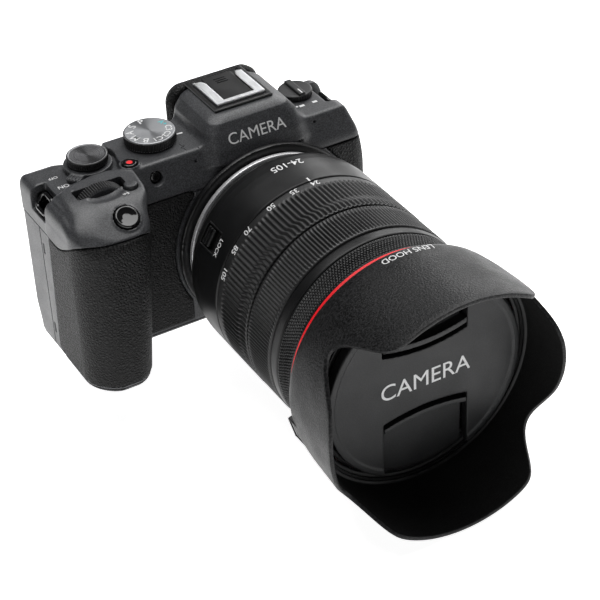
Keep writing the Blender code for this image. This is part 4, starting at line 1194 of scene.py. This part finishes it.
def lever():
    centre = np.array([*QUICK_DIAL[:2], REAR_DECK_Z])
    a = math.radians(220)
    out, side = np.array([math.cos(a), math.sin(a), 0]), np.array([-math.sin(a), math.cos(a), 0])

    def field(p):
        d = p - centre
        q = np.stack([d @ out, d @ side, d[:, 2]], 1)
        ring = rod_field(p, centre, UP, 9.4, 0.3, 2.0, 0.5)
        tab = box_field(q, (7.0, -2.95, 0.3), (13.15, 2.95, 2.0), 0.5)
        shape = smin(ring, tab, 0.8)
        for along in (-2.0, -0.7, 0.7, 2.0):
            shape = carve(shape, box_field(q, (10.2, along - 0.25, 1.6), (14, along + 0.25, 3), 0.1), 0.2)
        return smax(carve(shape, rod_field(p, centre, UP, 4.2, -1, 4), 0.2), 0.3 - d[:, 2], 0.1)
    solid("power_lever_fine", field, centre - 14, centre + (14, 14, 2.6), 0.3, "body", "power_lever",
          ["power_lever"])


def top_buttons():
    """The small buttons on the top and the front, turned about their own axes."""
    red_dot = [("red", lambda c, n: (np.hypot(c[:, 0] - RECORD[0], c[:, 1] - RECORD[1]) < 1.2)
                & (n[:, 2] > 0.5))]
    turned_button("shutter_button_fine", [(4.6, -1.8), (4.6, 0.8), (4.3, 1.2), (3.9, 1.3), (3.0, 1.08),
                                          (1.6, 0.9), (0.2, 0.85)],
                  SHUTTER, NOSE_AXIS, "gloss", "shutter_button", ["shutter_button"], 96)
    turned_button("function_button_fine", [(2.5, -1.4), (2.5, 0.8), (2.1, 1.15), (0.2, 1.2)],
                  FUNCTION, UP, "body", "function_button", ["function_button"], 64)
    turned_button("record_button_fine", [(2.9, -1.4), (2.9, 0.6), (2.5, 0.95), (1.5, 0.95), (1.3, 0.9),
                                         (0.2, 0.9)],
                  RECORD, UP, "gloss", "record_button", ["record_button"], 64, spots=red_dot)
    turned_button("af_lamp_fine", [(2.3, -3.4), (2.3, -1.7), (1.9, -1.25), (1.2, -1.12), (0.2, -1.1)],
                  AF_LAMP, LENS[1], "gloss", "camera_body", ["af_lamp_window"], 48)
    turned_button("lens_release_fine", [(4.4, -1.6), (4.4, 2.1), (4.0, 2.55), (3.4, 2.5), (0.3, 2.2)],
                  RELEASE, LENS[1], "body", "lens_release_button", ["lens_release_button"], 72, radius=0.3)


def rear_controls():
    on_back = (-1, 0, 0), (0, 0, 1)
    for node, (x, z), r, low in (("af_on_button", AF_ON_AT, 3.3, 1.0), ("set_button", KEYS[:2], 3.4, 0.8),
                                 ("playback_button", PLAY_AT, 2.6, 1.0)):
        turned_button(node + "_fine", [(r, 0), (r, 1.6), (r - 0.4, 2.0), (r - 1.0, 2.1), (0.3, 2.1)],
                      (x, REAR_Y - low, z), BACK, "body", node, [node], 64)
    turned_button("menu_button_fine", [(2.7, -1.0), (2.7, 0.8), (2.3, 1.15), (0.3, 1.2)],
                  (MENU_AT[0], REAR_Y, MENU_AT[1]), BACK, "body", "menu_button", ["menu_button"], 64)
    sides = [(3.0, h) for h in np.linspace(0.5, 2.8, 6)]
    profile = [(1.7, -1.5), (1.7, 0.3), (2.9, 0.3)] + sides + [(2.6, 3.4), (0.3, 3.4)]
    turned_button("diopter_knob_fine", profile, (DIOPTER_AT[0], REAR_Y, DIOPTER_AT[1]), BACK, "knurl",
                  "diopter_knob", ["diopter_knob"], 160, knurled(20, 0.25, 0.4, 2.9, 2.8))
    keys = rounded([(4.3, 0), (KEYS[2], 0), (KEYS[2], 0.9), (KEYS[2] - 0.6, 1.5), (4.6, 1.0)], 0.2)
    points, faces = spun(keys, ((KEYS[0], REAR_Y - 0.8, KEYS[1]), BACK), 96)
    piece("cross_keys_fine", points, faces, "body", "cross_keys", ["cross_keys"])
    marks = [(*oblong(1.6, 0.4), on_plane((KEYS[0] + dx, REAR_Y + 0.6, KEYS[1] + dz), *on_back))
             for dx, dz in ((7.4, 0), (-7.4, 0), (0, 7.4), (0, -7.4))]
    print_marks("key_marks", marks, "white", "cross_keys")
    marks = [(*letters(text, height), on_plane((x, REAR_Y - 0.33, z), *on_back))
             for text, height, x, z in (("AF-ON", 1.5, -46.5, 53.2), ("PLAY", 1.4, -47.0, 9.5))]
    print_marks("rear_labels", marks, "white", "camera_body")


def monitor_parts():
    y1 = REAR_Y - 0.1

    def screen(p):
        shape = box_field(p, (-29.9, REAR_Y - 5.4, 6.1), (39.4, y1, 52.9), 0.9)
        return carve(shape, box_field(p, (-25.3, REAR_Y - 0.9, 9.2), (36.3, 40, 49.8), 0.1), 0.15)
    solid("monitor_fine", screen, (-31, 8, 5), (40.5, 15, 54), 0.45, "body", "monitor", ["monitor"])

    def arm(p):
        shape = box_field(p, (39.7, REAR_Y - 5.4, 14), (46.0, y1, 45), 1.1)
        for z in (20, 39):
            shape = carve(shape, box_field(p, (39, y1 - 0.5, z - 0.25), (47, 40, z + 0.25)), 0.1)
        return shape
    solid("monitor_arm_fine", arm, (39, 8, 13), (47, 15, 46), 0.4, "body", "monitor", ["monitor_arm"])


def doors():
    def door(p):
        shape = box_field(p, (DOOR_X[0], DOOR_Y[0], 0), (DOOR_X[1], DOOR_Y[1], BASE_T), 0.35)
        return carve(shape, box_field(p, (-80.6, -24, -2), (-74.6, -18, 1.1), 0.2), 0.2)
    solid("battery_door_fine", door, (-85, -34.5, -0.5), (-66, -5.5, 2.6), 0.35, "body", "battery_door",
          ["battery_door"])

    def latch(p):
        shape = box_field(p, (-80.3, -23.7, 0), (-77.2, -18.3, 0.8), 0.2)
        for y in (-22, -21, -20):
            shape = carve(shape, box_field(p, (-80, y - 0.2, -1), (-77.5, y + 0.2, 0.25)), 0.1)
        return shape
    solid("door_latch_fine", latch, (-80.8, -24.2, -0.3), (-76.8, -17.8, 1.1), 0.2, "black", "door_latch",
          ["door_latch"])

    def flap(p):
        shape = box_field(p, (RIGHT_X - 1.4, -8.1, 12.1), (RIGHT_X, 6.1, 51.9), 0.45)
        for z in (25.2, 38.6):
            shape = carve(shape, box_field(p, (RIGHT_X - 0.25, -9, z - 0.25), (60, 7, z + 0.25)), 0.15)
        return shape
    solid("terminal_cover_fine", flap, (46.4, -8.8, 11.5), (48.8, 6.8, 52.5), 0.4, "skin", "terminal_cover",
          ["terminal_cover"])


def finder_and_shoe():
    def cup(p):
        y = p[:, 1]
        half = np.interp(y, (20.3, 23.0, 26.0), (19.0, 20.4, 19.4))
        q = np.stack([p[:, 0] * 20.4 / half, p[:, 2]], 1)
        shape = smax(plan_field(q[:, 0], q[:, 1], (-20.4, 60.4), (20.4, 83.8), (7, 7, 7, 7)),
                     np.abs(y - 23.15) - 2.85, 1.6)
        return carve(shape, box_field(p, (-11, 10, 66.8), (11, 30, 79.2), 1.5), 1.6)
    solid("eyecup_fine", cup, (-21.5, 19.6, 59.5), (21.5, 26.6, 84.5), 0.5, "skin", "camera_body", ["eyecup"])

    def plate(p):
        x, y, z = p[:, 0], p[:, 1], p[:, 2]
        shape = box_field(p, (-10.35, -2.5, 84.35), (10.35, 19.0, 86.5), 0.25)
        shape = smax(shape, z - 86.5 + 1.2 * smooth(y, 16, 19), 0.1)
        shape = carve(shape, box_field(p, (-8.9, -1.0, 84.95), (8.9, 30, 86.0), 0.05), 0.1)
        rear = 6.6 + 1.6 * smooth(y, 14, 18.5)
        return carve(shape, np.maximum(np.abs(x) - rear, np.maximum(-0.6 - y, 84.95 - z)), 0.15)
    solid("hot_shoe_fine", plate, (-11, -3, 84), (11, 19.6, 87), 0.22, "shoe", "camera_body", ["hot_shoe"])

    def lid(p):
        shape = smin(box_field(p, (-8.6, -0.3, 85.15), (8.6, 18.8, 85.72), 0.2),
                     box_field(p, (-6.3, -0.3, 85.3), (6.3, 18.8, 86.0), 0.2), 0.1)
        for k in (-1, 0, 1):
            rib = box_field(p, (-2.4, 14.0 + k * 1.5, 85.8), (2.4, 14.6 + k * 1.5, 86.28), 0.12)
            shape = smin(shape, rib, 0.1)
        return shape
    solid("shoe_cover_fine", lid, (-9.2, -0.9, 84.8), (9.2, 19.4, 86.6), 0.22, "black", "shoe_cover",
          ["shoe_cover"])

    def frame_lip(p):
        shape = box_field(p, (-12.6, -4.8, 84.0), (12.6, 22.0, 85.25), 0.4)
        return carve(shape, box_field(p, (-10.6, -2.8, 80), (10.6, 30, 90), 0.2), 0.2)
    solid("shoe_frame", frame_lip, (-13.2, -5.4, 83.5), (13.2, 22.6, 85.8), 0.35, "black", "camera_body")


def strap_loops():
    for node, middle, normal in (("strap_lug_right", (-84.4, -2.0, 67.6), (-0.80, 0, 0.60)),
                                 ("strap_lug_left", (41.4, 3.0, 68.6), (0.80, 0, 0.60))):
        middle, n = np.array(middle), np.array(normal)
        along = np.cross(n, BACK)

        def field(p, middle=middle, n=n, along=along):
            d = p - middle
            flat = np.stack([d @ BACK, d @ along, 0 * d[:, 0]], 1)
            return np.hypot(box_field(flat, (-4.4, -3.0, -50), (4.4, 3.0, 50), 2.2), d @ n) - 0.85
        solid(node + "_loop", field, middle - 6.2, middle + 6.2, 0.35, "gloss", "camera_body", [node])


def body_marks():
    flat = ((-1, 0, 0), (0, -1, 0))
    fn_turn = ((-0.94, -0.34, 0), (0.34, -0.94, 0))
    marks = [(*letters("ON", 2.0), on_plane((-76.2, -2.0, REAR_DECK_Z - 0.08), *flat)),
             (*letters("OFF", 1.5), on_plane((-77.2, 5.5, REAR_DECK_Z - 0.08), *flat)),
             (*oblong(0.8, 3.0), on_plane((-24.9, 3.4, DECK_Z - 0.06), (0.1, 1, 0), (-1, 0.1, 0))),
             (*letters("Fn", 1.7), on_plane((-60.6, -24.0, DECK_Z - 0.08), *fn_turn))]
    for width, height, x, y in ((0.9, 0.9, 24.2, -2.2), (2.2, 1.3, 26.2, -2.6), (2.0, 1.3, 32.0, -2.6)):
        marks.append((*oblong(width, height), on_plane((x, y, LEFT_DECK_Z - 0.08), *flat)))
    print_marks("deck_marks", marks, "white", "camera_body")

    # thin near-black sheets along the deck's seams: painted shade standing for the gaps between cover parts
    seam_shade_marks = [(*oblong(0.22, 24.0), on_plane((x, 1.6, deck - 0.09), (1, 0, 0), (0, 1, 0)))
             for x, deck in ((-23.3, DECK_Z), (23.3, LEFT_DECK_Z))]
    zigzag = ((-2.6, 0.0), (-0.9, 0.0), (-0.3, 1.0), (0.3, -1.0), (0.9, 0.0), (2.6, 0.0))
    lay = on_plane((-28.2, -6.2, DECK_Z - 0.09), (0, 1, 0), (-1, 0, 0))
    for (x0, y0), (x1, y1) in zip(zigzag, zigzag[1:]):
        length = math.hypot(x1 - x0, y1 - y0)
        points, faces = oblong(length + 0.15, 0.25)
        c, s = np.array([x1 - x0, y1 - y0]) / length
        turned = np.stack([points[:, 0] * c - points[:, 1] * s, points[:, 0] * s + points[:, 1] * c], 1)
        seam_shade_marks.append((turned + ((x0 + x1) / 2, (y0 + y1) / 2), faces, lay))
    print_marks("deck_seam_shade", seam_shade_marks, "painted_recess_shade", "camera_body")

    slant = math.radians(24.8)
    hump = on_plane((0, -13.72, 76.9), (1, 0, 0), (0, math.sin(slant), math.cos(slant)))
    print_marks("hump_label", [(*letters("CAMERA", 4.4), hump)], "white", "camera_body")
    face = on_plane((0, FLANGE_Y - 111.58, LENS_Z + 1.4), (1, 0, 0), (0, 0, 1))
    print_marks("cap_label", [(*letters("CAMERA", 6.6), face)], "white", "lens_cap")
    print_marks("hood_label", [(*letters("LENS HOOD", 2.6), on_lens(88, 98.4, 46.9))], "white", "hood")


shells()
top_dials()
lever()
top_buttons()
rear_controls()
monitor_parts()
doors()
finder_and_shoe()
strap_loops()
body_marks()


# ---- materials of the CAD nodes that stay ----
CARRIED = {"body_mount_ring": "chrome", "mount_frame": "steel", "sensor_unit": "sensor", "battery": "knurl",
           "tripod_socket": "steel", "strap_lug_left": "black", "strap_lug_right": "black",
           "lens_lock_pin": "steel", "shutter_blade_a": "black", "shutter_blade_b": "black",
           "monitor_glass": "gloss", "eyepiece_lens": "glass", "terminal_cover": "skin"}
for node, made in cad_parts.items():
    if made.hide_render:
        continue
    made.data.materials.clear()
    made.data.materials.append(LOOK[CARRIED.get(node, "body")])
    made.data.shade_smooth()
    made.data.set_sharp_from_angle(angle=math.radians(30))


# ---- floor, lights and camera ----
FLOOR_GLOW, FLOOR_REACH = 0.92, 12.0


def floor():
    mesh = bpy.data.meshes.new("floor")
    reach, z = FLOOR_REACH, CAD_BOX[0][2] - 0.0005
    mesh.from_pydata([(-reach, -reach, z), (reach, -reach, z), (reach, reach, z), (-reach, reach, z)], [],
                     [(0, 1, 2, 3)])
    made = bpy.data.objects.new("floor", mesh)
    bpy.context.scene.collection.objects.link(made)
    look, tree, shader = new_material("floor_paper", (0.88, 0.88, 0.88), 0.85, specular=0.2)
    shader.inputs["Emission Color"].default_value = (1, 1, 1, 1)
    shader.inputs["Emission Strength"].default_value = FLOOR_GLOW
    mesh.materials.append(look)


def softbox(name, place_at, target, width, height, power):
    data = bpy.data.lights.new(name, "AREA")
    data.shape = "RECTANGLE"
    data.size, data.size_y = width, height
    data.energy = power
    made = bpy.data.objects.new(name, data)
    bpy.context.scene.collection.objects.link(made)
    made.location = place_at
    made.rotation_euler = (Vector(target) - Vector(place_at)).to_track_quat("-Z", "Y").to_euler()


def studio():
    """Large soft light above, a weaker one from behind on the right and a faint one in front."""
    world = bpy.data.worlds.new("studio")
    bpy.context.scene.world = world
    world.use_nodes = True
    world.node_tree.nodes["Background"].inputs["Color"].default_value = (1, 1, 1, 1)
    world.node_tree.nodes["Background"].inputs["Strength"].default_value = 0.04
    middle = (0, -0.06, 0.04)
    softbox("overhead", (0.10, 0.25, 1.25), middle, 1.3, 1.0, 17)
    softbox("back_right", (0.95, 0.75, 0.75), middle, 0.7, 0.9, 8)
    softbox("front_left", (-0.75, -0.95, 0.85), middle, 0.6, 0.6, 1.0)
    bpy.context.scene.view_settings.view_transform = "Standard"


# the view's azimuth, elevation and roll, the point it looks at, its sideways shift and its distance
VIEW_DEGREES = (-28.13, 35.713, -3.072)
VIEW_AIM, VIEW_SHIFT, VIEW_DISTANCE = (0, -60.0, 40.0), (-8.868, -12.54), 732.347


def camera():
    """Seen from the grip side, from ahead and above."""
    azimuth, elevation, roll = (math.radians(v) for v in VIEW_DEGREES)
    back = np.array([math.sin(azimuth) * math.cos(elevation), -math.cos(azimuth) * math.cos(elevation),
                     math.sin(elevation)])
    right = np.cross([0, 0, 1.0], back)
    right /= np.linalg.norm(right)
    up = np.cross(back, right)
    side = right * math.cos(roll) + up * math.sin(roll)
    top = up * math.cos(roll) - right * math.sin(roll)
    spot = np.array(VIEW_AIM) + VIEW_SHIFT[0] * side + VIEW_SHIFT[1] * top + VIEW_DISTANCE * back
    data = bpy.data.cameras.new("camera")
    data.lens, data.sensor_width = 116.874, 36.0
    data.shift_x, data.shift_y = 0.00305, 0.0016
    data.clip_start, data.clip_end = 0.05, 50
    made = bpy.data.objects.new("camera", data)
    bpy.context.scene.collection.objects.link(made)
    turn = np.eye(4)
    turn[:3, 0], turn[:3, 1], turn[:3, 2], turn[:3, 3] = side, top, back, spot * MM
    made.matrix_world = Matrix(turn.tolist())
    bpy.context.scene.camera = made


floor()
studio()
camera()
